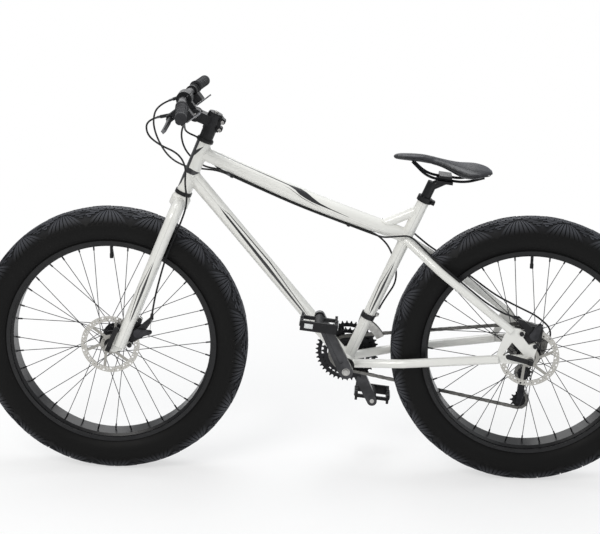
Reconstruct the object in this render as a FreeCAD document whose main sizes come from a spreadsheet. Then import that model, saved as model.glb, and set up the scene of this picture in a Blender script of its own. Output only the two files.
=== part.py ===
# A fat tyre bicycle, built as the pieces it comes apart into on a bench.
# Millimetres. +X points forward, +Y to the rider's left, +Z up.
# The origin lies on the ground, midway between the two axles.
import FreeCAD, Part
import math
import os
import re
import Sketcher
from types import SimpleNamespace

from FreeCAD import Placement, Rotation, Vector

# Driving sizes: lengths in millimetres, angles in degrees, counts as plain numbers.
SIZES = {
    # Layout
    "wheelbase": 1130, "tyre_radius": 370.5, "bottom_bracket_reach": 489, "bottom_bracket_drop": 43.5,
    "head_angle": 67.8, "seat_angle": 66.6, "fork_offset": 25, "fork_length": 465,
    "head_tube_length": 146, "seat_tube_length": 490,
    # Fits and cuts
    "fit_clearance": 0.05, "side_gap": 0.3, "cut_overrun": 2,
    # Frame tubes
    "tube_wall": 2, "head_tube_diameter": 40, "head_tube_bore": 34,
    "top_tube_head_drop": 32, "top_tube_seat_drop": 105, "top_tube_sag": 8,
    "top_tube_head_diameter": 35, "top_tube_mid_diameter": 43, "top_tube_seat_height": 39,
    "top_tube_seat_width": 30, "down_tube_diameter": 38.1, "down_tube_head_drop": 97,
    "seat_tube_diameter": 31.8, "brace_diameter": 26, "brace_seat_drop": 24,
    "shell_width": 100, "shell_diameter": 44, "shell_bore": 34.8,
    "seat_stay_diameter": 22, "seat_stay_drop": 112, "seat_stay_root_spread": 10,
    "chain_stay_diameter": 24, "chain_stay_root_spread": 28, "stay_tyre_gap": 5, "stay_bend_radius": 90,
    "dropout_thickness": 7, "dropout_rise": 80, "dropout_forward": 84, "dropout_foot": 11,
    "axle_slot": 10.4, "hanger_drop": 30,
    # Head bearings, fork and stem
    "steerer_diameter": 28.6, "steerer_wall": 2.8, "steerer_length": 235, "cup_height": 10, "cup_flange": 3,
    "cup_insert": 12, "crown_height": 36, "crown_diameter": 52,
    "fork_leg_diameter": 33, "fork_leg_spread": 76.5, "fork_bend_radius": 42, "fork_shoulder_drop": 14,
    "fork_tip_thickness": 6, "spacer_height": 24, "spacer_diameter": 37,
    "stem_clamp_height": 46, "stem_clamp_diameter": 40, "stem_pivot_forward": 48, "stem_pivot_diameter": 34,
    "stem_pivot_width": 36, "stem_arm_forward": 43, "stem_arm_rise": 28, "bar_clamp_diameter": 25.4,
    "bar_clamp_width": 44, "bar_clamp_wall": 8, "stem_bolt_diameter": 6,
    # Handlebar and controls
    "bar_diameter": 22.2, "bar_half_width": 280, "bar_straight": 62, "bar_backsweep": 20, "bar_drop": 6,
    "bar_wall": 2, "grip_length": 125, "grip_diameter": 30, "grip_flange_diameter": 34, "grip_rib_depth": 1.2,
    "grip_ribs": 14, "perch_width": 16, "perch_wall": 4.5, "lever_reach": 44, "lever_length": 112,
    "lever_thickness": 9, "lever_width": 13, "barrel_length": 44, "lever_droop": 38, "barrel_diameter": 9,
    "pod_width": 34, "pod_depth": 40, "pod_height": 24, "paddle_length": 34, "paddle_thickness": 4,
    # Wheels
    "tyre_width": 103, "tyre_flat": 36, "tyre_wall": 3.6, "tread_thickness": 7, "bead_radius": 279.5,
    "rim_width": 80, "rim_wall": 3, "rim_flange": 7.5, "rim_drop": 7, "valve_length": 34, "valve_diameter": 8,
    "spoke_count": 36, "spoke_diameter": 2, "nipple_length": 13, "nipple_diameter": 4.4, "spoke_sweep": 60,
    "axle_diameter": 12, "axle_end_diameter": 9.8, "cone_diameter": 19, "front_spacing": 135,
    "rear_spacing": 170,
    "flange_radius": 33, "flange_thickness": 3.4, "hub_shell_radius": 15, "front_flange_offset": 32,
    "rear_flange_left": 48, "rear_flange_right": 40,
    "rotor_radius": 80, "rotor_track": 15, "rotor_thickness": 1.8, "rotor_mount_radius": 27,
    "rotor_arms": 6, "rotor_holes": 24, "rotor_hole_diameter": 5.5,
    "front_rotor_offset": 51, "rear_rotor_offset": 66, "skewer_nut_diameter": 20, "skewer_nut_length": 12,
    "quick_lever_length": 62, "quick_lever_width": 13, "quick_lever_thickness": 5, "quick_boss_diameter": 15,
    # Brakes
    "caliper_length": 46, "caliper_depth": 40, "caliper_slot": 9, "caliper_inner": 11, "pad_gap": 0.5,
    "actuator_diameter": 30, "actuator_height": 12, "caliper_arm_length": 32, "caliper_arm_thickness": 4,
    "caliper_radius": 72, "mount_lug_radius": 7, "mount_bolt_diameter": 6, "cable_stop_length": 14,
    # Drive train
    "crank_length": 170, "crank_thickness": 16, "crank_inner_offset": 88, "crank_boss_radius": 19,
    "crank_tip_radius": 14, "crank_angle": 64.7, "crank_groove_depth": 2, "spindle_diameter": 22,
    "bearing_flange": 4, "crank_bolt_diameter": 15,
    "chain_pitch": 12.7, "roller_diameter": 7.75, "chain_plate_thickness": 1, "chain_inner_width": 2.9,
    "chain_plate_height": 8.2, "pin_diameter": 3.6, "ring_thickness": 2,
    "inner_ring_teeth": 24, "middle_ring_teeth": 34, "outer_ring_teeth": 42,
    "inner_ring_offset": 58, "ring_pitch": 7.5, "ring_rim_depth": 18, "spider_bolt_circle": 52,
    "sprocket_count": 7, "largest_sprocket_teeth": 28, "second_sprocket_teeth": 24, "sprocket_step": 2,
    "sprocket_offset": 54,
    "sprocket_pitch": 4.6, "cassette_body_radius": 17, "pulley_teeth": 11, "pulley_thickness": 2.2,
    "guide_pulley_back": 0, "guide_pulley_drop": 86, "cage_length": 82, "cage_lean": 8, "cage_thickness": 2,
    "pedal_length": 96, "pedal_width": 78, "pedal_height": 26, "pedal_axle_diameter": 12, "pedal_tilt": 6.5,
    "pedal_collar": 12, "pedal_rail_height": 9, "pedal_teeth": 6, "pedal_tooth_gap": 6,
    "pedal_tooth_depth": 3.5,
    "reflector_thickness": 2, "ring_rim_width": 14, "ring_bolt_diameter": 8, "post_bolt_circle": 36,
    "chain_gap": 0.2,
    "hanger_bolt_diameter": 10, "knuckle_length": 16, "knuckle_radius": 11, "cage_half_gap": 5,
    "cage_plate_radius": 9,
    "pulley_bolt_diameter": 6, "derailleur_band_height": 140, "derailleur_hinge_back": 14,
    "derailleur_hinge_side": 44,
    "hinge_radius": 5, "hinge_length": 18, "front_cage_gap": 7, "front_cage_height": 22, "pedal_wall": 7,
    "pedal_core_diameter": 24,
    # Saddle
    "post_diameter": 27.2, "post_wall": 2.4, "post_insertion": 150, "post_exposed": 58, "post_setback": 24,
    "post_rise": 23,
    "collar_height": 14, "collar_wall": 4.5, "saddle_length": 272, "saddle_width": 142,
    "saddle_height": 48, "saddle_tilt": 7, "rail_diameter": 7, "rail_spread": 22,
    "clamp_length": 42, "clamp_plate": 7,
    # Cables
    "housing_diameter": 5, "wire_diameter": 2, "clip_length": 8, "clip_wall": 1.6, "cable_pitch": 8,
    "brake_lead": 45, "shift_lead": 70, "stop_lead": 44, "clip_lead": 31,
}
WORD = re.compile(r"[a-z][a-z_]*")
FULL_TURN = 360
RIGHT_ANGLE = 90
X_AXIS = Vector(1, 0, 0)
Y_AXIS = Vector(0, 1, 0)
Z_AXIS = Vector(0, 0, 1)
ORIGIN = Vector(0, 0, 0)
SIDES = {"left": 1, "right": -1}

doc = FreeCAD.newDocument("FatTyreBicycle")
sheet = doc.addObject("Spreadsheet::Sheet", "Sizes")
for row, (alias, number) in enumerate(SIZES.items(), start=1):
    sheet.set(f"A{row}", alias)
    sheet.set(f"B{row}", str(number))
    sheet.setAlias(f"B{row}", alias)
doc.recompute()

# The same sizes for the pieces whose shape is worked out point by point.
size = SimpleNamespace(**{alias: float(sheet.get(alias)) for alias in SIZES})
nodes = []
shared = {}


def on_sheet(text):
    """An expression written with plain size names, pointed at the sheet's cells."""
    return WORD.sub(lambda word: f"Sizes.{word[0]}" if word[0] in SIZES else word[0], text)


def value(amount):
    """The number behind a size expression, or the number itself."""
    if isinstance(amount, str):
        return float(sheet.evalExpression(on_sheet(amount)))
    return amount


def bind(obj, **amounts):
    """Tie properties to expressions on the sheet; worked-out numbers are set as they are."""
    for name, amount in amounts.items():
        if isinstance(amount, str):
            obj.setExpression(name, on_sheet(amount))
        else:
            setattr(obj, name, amount)
    return obj


def rod(radius, length, base=ORIGIN, direction=Z_AXIS):
    cylinder = bind(doc.addObject("Part::Cylinder", "Rod"), Radius=radius, Height=length)
    cylinder.Placement = Placement(base, Rotation(Z_AXIS, direction))
    return cylinder


def rod_between(radius, start, end):
    return rod(radius, (end - start).Length, start, end - start)


def block(length, width, height, centre=ORIGIN, rotation=Rotation()):
    """A box of the given sizes whose middle lies at centre."""
    box = bind(doc.addObject("Part::Box", "Block"), Length=length, Width=width, Height=height)
    half = Vector(value(length), value(width), value(height)) * -0.5
    box.Placement = Placement(centre, rotation).multiply(Placement(half, Rotation()))
    return box


def fuse(*pieces):
    if len(pieces) == 1:
        return pieces[0]
    union = doc.addObject("Part::MultiFuse", "Union")
    union.Shapes = list(pieces)
    union.Refine = True
    return union


def cut(base, *tools):
    for tool in tools:
        result = doc.addObject("Part::Cut", "Cut")
        result.Base = base
        result.Tool = tool
        base = result
    return base


def solid(shape):
    """A piece whose shape is worked out point by point."""
    feature = doc.addObject("Part::Feature", "Piece")
    feature.Shape = shape
    return feature


def group(*pieces):
    """Separate solids that share one node."""
    compound = doc.addObject("Part::Compound", "Group")
    compound.Links = list(pieces)
    return compound


def node(label, piece, frame=Placement()):
    """Name a finished sub-part and set it in its frame."""
    piece.Label = label
    piece.Placement = frame.multiply(piece.Placement)
    nodes.append(piece)
    return piece


def share_node(label, piece, frame=Placement()):
    """Add a piece to a node that holds several, such as the left and right of a pair."""
    piece.Placement = frame.multiply(piece.Placement)
    shared.setdefault(label, []).append(piece)
    return piece


def pin_point(sketch, index, end, place):
    """Hold one point of a sketch at the two expressions in place."""
    for kind, text, axis in (("DistanceX", place[0], -2), ("DistanceY", place[1], -1)):
        if text == "0":
            sketch.addConstraint(Sketcher.Constraint("PointOnObject", index, end, axis))
            continue
        number = sketch.addConstraint(Sketcher.Constraint(kind, -1, 1, index, end, value(text)))
        sketch.setExpression(f"Constraints[{number}]", on_sheet(text))


def sketch_arc(sketch, start, via, end):
    """Add the arc through three points; returns its index and which end comes first."""
    circle = Part.Arc(start, via, end).toShape().Curve
    forward = (via - start).cross(end - via).z > 0
    first, last = (start, end) if forward else (end, start)
    angles = [math.atan2(point.y - circle.Center.y, point.x - circle.Center.x) for point in (first, last)]
    arc = Part.ArcOfCircle(Part.Circle(circle.Center, Z_AXIS, circle.Radius), *angles)
    return sketch.addGeometry(arc), forward


def outline_sketch(body, role, *loops):
    """A sketch of closed loops. A corner is two expressions; a third item marks a point an arc passes."""
    sketch = body.newObject("Sketcher::SketchObject", "Outline")
    plane = next(feature for feature in body.Origin.OriginFeatures if feature.Role == role)
    sketch.AttachmentSupport = (plane, [""])
    sketch.MapMode = "FlatFace"
    for loop in loops:
        draw_loop(sketch, loop)
    return sketch


def draw_loop(sketch, loop):
    points = [Vector(value(item[0]), value(item[1]), 0) for item in loop]
    corners = [index for index, item in enumerate(loop) if len(item) == 2]
    edges = []
    for here, ahead in zip(corners, corners[1:] + corners[:1]):
        between = (here + 1) % len(loop)
        if between == ahead:
            line = sketch.addGeometry(Part.LineSegment(points[here], points[ahead]))
            edges.append((line, 1, 2, here))
            continue
        arc, forward = sketch_arc(sketch, points[here], points[between], points[ahead])
        edges.append((arc, 1 if forward else 2, 2 if forward else 1, here))
        mark = sketch.addGeometry(Part.Point(points[between]), True)
        pin_point(sketch, mark, 1, loop[between])
        sketch.addConstraint(Sketcher.Constraint("PointOnObject", mark, 1, arc))
    for edge, following in zip(edges, edges[1:] + edges[:1]):
        sketch.addConstraint(Sketcher.Constraint("Coincident", edge[0], edge[2], following[0], following[1]))
        pin_point(sketch, edge[0], edge[1], loop[edge[3]])


def turned(*loops):
    """A turned piece: outlines of (radius, height) spun about the local Z axis."""
    body = doc.addObject("PartDesign::Body", "Turned")
    sketch = outline_sketch(body, "XZ_Plane", *loops)
    spin = body.newObject("PartDesign::Revolution", "Spin")
    spin.Profile = (sketch, [""])
    spin.ReferenceAxis = (sketch, ["V_Axis"])
    spin.Angle = FULL_TURN
    return body


def plate(thickness, *loops):
    """A flat piece: an outline in the local XY plane, padded along local Z. Later loops are windows."""
    body = doc.addObject("PartDesign::Body", "Plate")
    sketch = outline_sketch(body, "XY_Plane", *loops)
    pad = body.newObject("PartDesign::Pad", "Pad")
    pad.Profile = (sketch, [""])
    bind(pad, Length=thickness)
    return body


ARC_SHARE = 0.45


def routed_wire(points, bend_radius=None):
    """Straight runs joined by tangent arcs, with arcs as large as the runs allow unless a radius is given."""
    edges = []
    start = points[0]
    for before, corner, after in zip(points, points[1:], points[2:]):
        back = before - corner
        ahead = after - corner
        half_turn = (math.pi - back.getAngle(ahead)) / 2
        reach = ARC_SHARE * min(back.Length, ahead.Length)
        if bend_radius:
            reach = min(reach, bend_radius * math.tan(half_turn))
        radius = reach / math.tan(half_turn)
        entry = corner + back.normalize() * reach
        leave = corner + ahead.normalize() * reach
        middle = back + ahead
        apex = corner + middle.normalize() * (radius / math.cos(half_turn) - radius)
        edges.append(Part.LineSegment(start, entry).toShape())
        edges.append(Part.Arc(entry, apex, leave).toShape())
        start = leave
    edges.append(Part.LineSegment(start, points[-1]).toShape())
    return Part.Wire(edges)


VOLUME_SHARE = 0.01


def swept_rod(points, radius, bend_radius=None):
    """A round rod along a route."""
    path = routed_wire(points, bend_radius)
    start = path.Vertexes[0].Point
    section = Part.Wire(Part.makeCircle(radius, points[0], points[1] - points[0]))
    shell = path.makePipeShell([section], True, False)
    expected = math.pi * radius ** 2 * path.Length
    if abs(shell.Volume / expected - 1) > VOLUME_SHARE or (start - points[0]).Length > size.fit_clearance:
        raise RuntimeError(f"A swept rod holds {shell.Volume:.0f} where {expected:.0f} was expected")
    return shell


def bent_tube(points, diameter, wall, bend_radius):
    outer = swept_rod(points, diameter / 2, bend_radius)
    inner = swept_rod(points, diameter / 2 - wall, bend_radius)
    return outer, outer.cut(inner)


def lerp(start, end, share):
    return start + (end - start) * share


# Reference points and frames
rear_axle = Vector(-size.wheelbase / 2, 0, size.tyre_radius)
front_axle = Vector(size.wheelbase / 2, 0, size.tyre_radius)
bottom_bracket = rear_axle + Vector(size.bottom_bracket_reach, 0, -size.bottom_bracket_drop)
steer_turn = Rotation(Y_AXIS, size.head_angle - RIGHT_ANGLE)
seat_turn = Rotation(Y_AXIS, size.seat_angle - RIGHT_ANGLE)
steer_axis = steer_turn.multVec(Z_AXIS)
steer_forward = steer_turn.multVec(X_AXIS)
seat_axis = seat_turn.multVec(Z_AXIS)
seat_forward = seat_turn.multVec(X_AXIS)
steer_foot = front_axle - steer_forward * size.fork_offset
steer_frame = Placement(steer_foot, steer_turn)
seat_frame = Placement(bottom_bracket, seat_turn)
ACROSS = Rotation(Z_AXIS, Y_AXIS)
SIDEWAYS = Rotation(X_AXIS, RIGHT_ANGLE)
head_top = steer_foot + steer_axis * (size.fork_length + size.head_tube_length)
seat_top = bottom_bracket + seat_axis * size.seat_tube_length
stay_half_gap = size.tyre_width / 2 + size.stay_tyre_gap


def across(point):
    """A frame at a point whose local Z points to the rider's left."""
    return Placement(point, ACROSS)


def sideways(point):
    """A frame at a point whose local X points forward, Y up and Z to the rider's right."""
    return Placement(point, SIDEWAYS)


def steer_point(forward, side, height):
    return steer_frame.multVec(Vector(forward, side, height))


# Frame tubes
TOP_TUBE_STATION_SHARES = (0, 0.29, 0.5, 0.8, 1)
TOP_TUBE_SAG_SHARES = (0, 0.6, 1, 0.5, 0)
TOP_TUBE_SWELL_SHARES = (0, 0.75, 1, 0.6, 0)
BRACE_SHARE = 0.865
SEAT_STAY_BEND_SHARE = 0.33
CHAIN_STAY_BEND_SHARE = 0.37


def top_tube_point(share):
    """The top tube's centre line, which hangs a little below the straight line between its ends."""
    start = head_top - steer_axis * size.top_tube_head_drop
    end = seat_top - seat_axis * size.top_tube_seat_drop
    stations = zip(TOP_TUBE_STATION_SHARES, TOP_TUBE_STATION_SHARES[1:], TOP_TUBE_SAG_SHARES,
                   TOP_TUBE_SAG_SHARES[1:])
    for low, high, sag_low, sag_high in stations:
        if share <= high:
            sag = sag_low + (sag_high - sag_low) * (share - low) / (high - low)
            break
    return lerp(start, end, share) - Z_AXIS * (sag * size.top_tube_sag)


def top_tube_loft(wall):
    along = top_tube_point(1) - top_tube_point(0)
    rotation = Rotation(Y_AXIS.cross(along), Y_AXIS, along, "ZYX")
    sections = []
    for share, swell in zip(TOP_TUBE_STATION_SHARES, TOP_TUBE_SWELL_SHARES):
        height = f"(top_tube_head_diameter * {1 - share} + top_tube_seat_height * {share})"
        width = f"(top_tube_head_diameter * {1 - share} + top_tube_seat_width * {share})"
        ring = doc.addObject("Part::Ellipse", "TopTubeSection")
        bind(ring, MajorRadius=f"({height} * {1 - swell} + top_tube_mid_diameter * {swell}) / 2 - {wall}",
             MinorRadius=f"({width} * {1 - swell} + top_tube_mid_diameter * {swell}) / 2 - {wall}")
        ring.Placement = Placement(top_tube_point(share), rotation)
        sections.append(ring)
    loft = doc.addObject("Part::Loft", "TopTubeLoft")
    loft.Sections = sections
    loft.Solid = True
    return loft


def make_frame_tubes():
    head_start = steer_foot + steer_axis * size.fork_length
    head_core = rod("head_tube_diameter / 2", "head_tube_length", head_start, steer_axis)
    seat_core = rod("seat_tube_diameter / 2", "seat_tube_length", bottom_bracket, seat_axis)
    shell_start = bottom_bracket - Y_AXIS * (size.shell_width / 2)
    shell_core = rod("shell_diameter / 2", "shell_width", shell_start, Y_AXIS)
    node("head_tube", cut(head_core, rod("head_tube_bore / 2", "head_tube_length", head_start, steer_axis)))
    node("bottom_bracket_shell", cut(shell_core, rod("shell_bore / 2", "shell_width", shell_start, Y_AXIS)))
    post_bore = rod("post_diameter / 2 + fit_clearance", "seat_tube_length + cut_overrun", bottom_bracket,
                    seat_axis)
    node("seat_tube", cut(seat_core, post_bore, shell_core))

    top_core = top_tube_loft("0")
    node("top_tube", cut(top_core, top_tube_loft("tube_wall"), head_core, seat_core))

    down_start = head_top - steer_axis * size.down_tube_head_drop
    down_core = rod_between("down_tube_diameter / 2", down_start, bottom_bracket)
    down_bore = rod_between("down_tube_diameter / 2 - tube_wall", down_start, bottom_bracket)
    node("down_tube", cut(down_core, down_bore, head_core, seat_core, shell_core))

    brace_start = top_tube_point(BRACE_SHARE)
    brace_end = seat_top - seat_axis * size.brace_seat_drop
    doc.recompute()
    make_stay("seat_tube_brace", (brace_start, brace_end), size.brace_diameter, (seat_core, top_core))
    for name, side in SIDES.items():
        make_stays(name, side, (top_core, seat_core, shell_core))


STAY_SOCKET_SHARE = 0.62


def make_stays(name, side, neighbours):
    """One dropout, and the seat stay and chain stay that bend outwards past the tyre to reach it."""
    dropout = make_dropout(name, side)
    doc.recompute()
    neighbours += (dropout,)
    socket_y = side * (size.rear_spacing + size.dropout_thickness) / 2
    root = seat_top - seat_axis * size.seat_stay_drop + Y_AXIS * (side * size.seat_stay_root_spread)
    tip = rear_axle + Vector(size.dropout_forward * STAY_SOCKET_SHARE, socket_y, size.dropout_rise)
    bend = lerp(root, tip, SEAT_STAY_BEND_SHARE)
    bend.y = side * (stay_half_gap + size.seat_stay_diameter / 2)
    make_stay("seat_stays", (root, bend, tip), size.seat_stay_diameter, neighbours)

    root = bottom_bracket + Y_AXIS * (side * size.chain_stay_root_spread)
    tip = rear_axle + Vector(size.dropout_forward, socket_y, 0)
    bend = lerp(root, tip, CHAIN_STAY_BEND_SHARE)
    bend.y = side * (stay_half_gap + size.chain_stay_diameter / 2)
    make_stay("chain_stays", (root, bend, tip), size.chain_stay_diameter, neighbours)


def make_stay(label, points, diameter, neighbours):
    tube = bent_tube(points, diameter, size.tube_wall, size.stay_bend_radius)[1]
    for neighbour in neighbours:
        tube = tube.cut(neighbour.Shape)
    largest = max(tube.Solids, key=lambda piece: piece.Volume)
    share_node(label, solid(largest))


# Corners of the rear dropouts, as shares of their forward reach and their rise above the axle.
DROPOUT_FRONT_SHARES = ((1.07, -0.12), (1.07, 0.15), (0.86, 0.83), (0.71, 1.15))
CALIPER_TAB_SHARES = ((0.36, 1.08), (0.2, 0.98), (0.26, 0.8), (0.07, 0.54), (-0.12, 0.61), (-0.21, 0.48),
                      (-0.13, 0.18))
PLAIN_BACK_SHARES = ((0.5, 1.1), (0.1, 0.5), (-0.13, 0.3))
WINDOW_SHARES = ((0.6, 0.62), (0.2, 0.18), (0.88, 0.15))
HANGER_SHARES = ((-0.78, 0), (-0.85, -1.3), (-0.3, -1.3), (-0.24, -0.36))


def dropout_corners(shares):
    return [(f"dropout_forward * {across_share}", f"dropout_rise * {up_share}") for across_share,
            up_share in shares]


REAR_MOUNT_SHARES = ((0.31, 0.93), (-0.13, 0.5))
HANGER_HOLE_SHARES = (-0.53, -0.9)


def make_dropout(name, side):
    """The plate that takes the axle, with brake tabs on the left one and a hanger on the right one."""
    foot = [("-dropout_foot", "0"), ("-dropout_foot * 0.7", "-dropout_foot * 0.7", "arc"),
            ("0", "-dropout_foot")]
    if side > 0:
        corners = dropout_corners(DROPOUT_FRONT_SHARES + CALIPER_TAB_SHARES) + foot
    else:
        hanger = [(f"hanger_drop * {back}", f"hanger_drop * {up}") for back, up in HANGER_SHARES]
        corners = dropout_corners(DROPOUT_FRONT_SHARES + PLAIN_BACK_SHARES) + hanger + foot[2:]
    body = plate("dropout_thickness", corners, dropout_corners(WINDOW_SHARES))
    tall = "dropout_thickness + cut_overrun * 2"
    start = Vector(0, 0, -size.cut_overrun)
    axle_hole = rod("axle_slot / 2", tall, start)
    slot = block("axle_slot", "dropout_foot * 2", tall,
                 Vector(0, -size.dropout_foot, size.dropout_thickness / 2))
    holes = REAR_MOUNT_SHARES if side > 0 else ()
    drills = [rod("mount_bolt_diameter / 2 + fit_clearance", tall,
                  start + Vector(size.dropout_forward * forward, size.dropout_rise * up,
                                 0)) for forward, up in holes]
    if side < 0:
        hanger_hole = Vector(size.hanger_drop * HANGER_HOLE_SHARES[0],
                             size.hanger_drop * HANGER_HOLE_SHARES[1], 0)
        drills.append(rod("hanger_bolt_diameter / 2 + fit_clearance", tall, start + hanger_hole))
    left_face = side * (size.rear_spacing + size.dropout_thickness) / 2 + size.dropout_thickness / 2
    return share_node("dropouts", cut(body, axle_hole, slot, *drills),
                      sideways(rear_axle + Y_AXIS * left_face))


# Wheels
RIM_SEAT_SHARE = 0.72
RIM_CHANNEL_SHARE = 0.62


def tyre():
    """An open casing with a flat band of tread at its crown."""
    bead = "bead_radius + fit_clearance"
    inside = "rim_width / 2 - rim_wall - side_gap"
    middle = "(bead_radius * 0.52 + tyre_radius * 0.48)"
    grip = "bead_radius + rim_flange * 1.25"
    shoulder = "(bead_radius * 0.13 + tyre_radius * 0.87)"
    outer_half = [(bead, inside), (grip, inside), (middle, "tyre_width / 2", "arc"),
                  (shoulder, "tyre_width * 0.385"),
                  ("bead_radius * 0.035 + tyre_radius * 0.965", "tyre_width * 0.28", "arc"),
                  ("tyre_radius", "tyre_flat / 2")]
    inner_half = [("tyre_radius - tread_thickness", "tyre_flat / 2"),
                  (f"{shoulder} - tyre_wall", "tyre_width * 0.385 - tyre_wall * 0.6"),
                  (middle, "tyre_width / 2 - tyre_wall", "arc"), (grip, f"{inside} - tyre_wall * 1.4"),
                  (bead, f"{inside} - tyre_wall * 1.6")]
    mirrored = [(item[0], f"-({item[1]})") + tuple(item[2:]) for item in outer_half]
    inner_mirrored = [(item[0], f"-({item[1]})") + tuple(item[2:]) for item in inner_half]
    return turned(outer_half + mirrored[::-1] + inner_mirrored[::-1] + inner_half)


def rim():
    """A single-wall channel with bead seats and hooked flanges."""
    outside = [("bead_radius + rim_flange", "rim_width / 2"),
               ("bead_radius + rim_flange", "rim_width / 2 - rim_wall"),
               ("bead_radius", "rim_width / 2 - rim_wall"), ("bead_radius",
                                                             f"rim_width / 2 * {RIM_SEAT_SHARE}"),
               ("bead_radius - rim_drop", f"rim_width / 2 * {RIM_CHANNEL_SHARE}")]
    inside = [("bead_radius - rim_drop - rim_wall", f"rim_width / 2 * {RIM_CHANNEL_SHARE} + rim_wall / 2"),
              ("bead_radius - rim_wall", f"rim_width / 2 * {RIM_SEAT_SHARE} + rim_wall / 2"),
              ("bead_radius - rim_wall", "rim_width / 2")]
    mirrored = [(radius, f"-({height})") for radius, height in outside]
    inner_mirrored = [(radius, f"-({height})") for radius, height in inside]
    ring = turned(outside + mirrored[::-1] + inner_mirrored[::-1] + inside)
    valve_hole = rod("valve_diameter / 2 + fit_clearance", "rim_drop + rim_wall * 4", valve_seat(), -Y_AXIS)
    return cut(ring, valve_hole)


def valve_seat():
    return Vector(0, -(size.bead_radius - size.rim_drop - size.rim_wall * 2), 0)


def valve():
    """The inner tube's valve stem and its cap."""
    top = size.bead_radius - size.rim_drop + size.rim_wall
    stem = rod("valve_diameter / 2", "valve_length", Vector(0, -top, 0), Y_AXIS)
    cap = rod("valve_diameter * 0.62", "valve_length * 0.36", Vector(0, -(top - size.valve_length), 0),
              Y_AXIS)
    return fuse(stem, cap)


HOLE_EDGE_SHARE = 0.6
SPOKE_LEAN_SHARE = 0.035
NIPPLE_SKEW_SHARE = 0.2


def spokes(flange_left, flange_right):
    """Three-cross lacing: half the spokes go to each flange, and alternate ones lean either way."""
    pieces = []
    per_side = int(size.spoke_count) // 2
    step = FULL_TURN / per_side
    hole_radius = size.flange_radius - size.flange_thickness * HOLE_EDGE_SHARE
    rim_radius = size.bead_radius - size.rim_drop - size.rim_wall
    for side, offset in ((1, flange_left), (-1, flange_right)):
        lifts = (size.spoke_diameter / 2 + size.fit_clearance + offset * SPOKE_LEAN_SHARE,
                 size.spoke_diameter / 2 + size.fit_clearance)
        for index in range(per_side):
            lean = 1 if index % 2 == 0 else -1
            lift = lifts[index % 2]
            angle = math.radians(index * step + (step / 2 if side < 0 else 0))
            far = angle + math.radians(lean * size.spoke_sweep)
            face = side * (offset + lean * size.flange_thickness / 2)
            rim_height = side * size.nipple_diameter * 2
            hole = Vector(hole_radius * math.cos(angle), hole_radius * math.sin(angle), face)
            start = hole + Z_AXIS * (side * lean * lift)
            end = Vector(rim_radius * math.cos(far), rim_radius * math.sin(far), rim_height)
            run = (start - end).normalize()
            end = end + run * (size.fit_clearance + size.nipple_diameter * NIPPLE_SKEW_SHARE)
            knee = end + run * size.nipple_length
            wire = Part.makeCylinder(size.spoke_diameter / 2, (start - knee).Length, start, knee - start)
            head = Part.makeCylinder(size.spoke_diameter / 2, lift + size.spoke_diameter / 2, hole,
                                     start - hole)
            nipple = Part.makeCylinder(size.nipple_diameter / 2, size.nipple_length, knee, end - knee)
            pieces.append(wire.fuse(head).fuse(nipple).removeSplitter())
    return solid(Part.makeCompound(pieces))


def hub(left_end, right_end, flange_left, flange_right, rotor_face):
    """The turned hub shell with two spoke flanges and the boss that the brake disc bolts to."""
    bore = "axle_diameter / 2 + fit_clearance"
    half = "flange_thickness / 2"
    right, left = f"-({flange_right})", f"{flange_left}"
    steps = [("cone_diameter / 2", f"-({right_end})"),
             ("hub_shell_radius", f"{right} - {half} - flange_thickness"),
             ("hub_shell_radius", f"{right} - {half}"), ("flange_radius", f"{right} - {half}"),
             ("flange_radius", f"{right} + {half}"), ("hub_shell_radius", f"{right} + {half}"),
             ("hub_shell_radius", f"{left} - {half}"), ("flange_radius", f"{left} - {half}"),
             ("flange_radius", f"{left} + {half}"), ("rotor_mount_radius", f"{left} + {half}"),
             ("rotor_mount_radius", rotor_face), ("rotor_mount_radius * 0.62",
                                                  rotor_face), ("cone_diameter / 2", left_end)]
    return turned([(bore, f"-({right_end})")] + steps + [(bore, left_end)])


ROTOR_ARM_START_SHARE = 0.9
ROTOR_ARM_LEAN = 24


def rotor():
    """The brake disc: a drilled track on swept arms, and six bolts that hold it to the hub."""
    track = rod("rotor_radius", "rotor_thickness")
    track = cut(track, rod("rotor_radius - rotor_track", "rotor_thickness"))
    core = rod("rotor_mount_radius", "rotor_thickness")
    arm_start = size.rotor_mount_radius * ROTOR_ARM_START_SHARE
    arm_length = size.rotor_radius - size.rotor_track / 2 - arm_start
    pieces = [track, core]
    holes = [rod("rotor_mount_radius * 0.62 + fit_clearance", "rotor_thickness")]
    for index in range(int(size.rotor_arms)):
        turn = Rotation(Z_AXIS, FULL_TURN * index / size.rotor_arms)
        lean = turn.multiply(Rotation(Z_AXIS, ROTOR_ARM_LEAN))
        base = turn.multVec(Vector(arm_start, 0, size.rotor_thickness / 2))
        middle = base + lean.multVec(Vector(arm_length / 2, 0, 0))
        pieces.append(block(arm_length, "rotor_track * 0.5", "rotor_thickness", middle, lean))
    for index in range(int(size.rotor_holes)):
        turn = Rotation(Z_AXIS, FULL_TURN * index / size.rotor_holes)
        reach = size.rotor_radius - size.rotor_track * (0.3 if index % 2 else 0.7)
        holes.append(rod("rotor_hole_diameter / 2", "rotor_thickness", turn.multVec(Vector(reach, 0, 0))))
    return cut(fuse(*pieces), fuse(*holes))


def rotor_bolts():
    bolts = []
    for index in range(int(size.rotor_arms)):
        turn = Rotation(Z_AXIS, FULL_TURN * (index + 0.5) / size.rotor_arms)
        place = turn.multVec(Vector(size.rotor_mount_radius * 0.81, 0, size.rotor_thickness))
        bolts.append(rod("rotor_mount_radius * 0.13", "rotor_thickness * 1.2", place))
    return bolts


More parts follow.
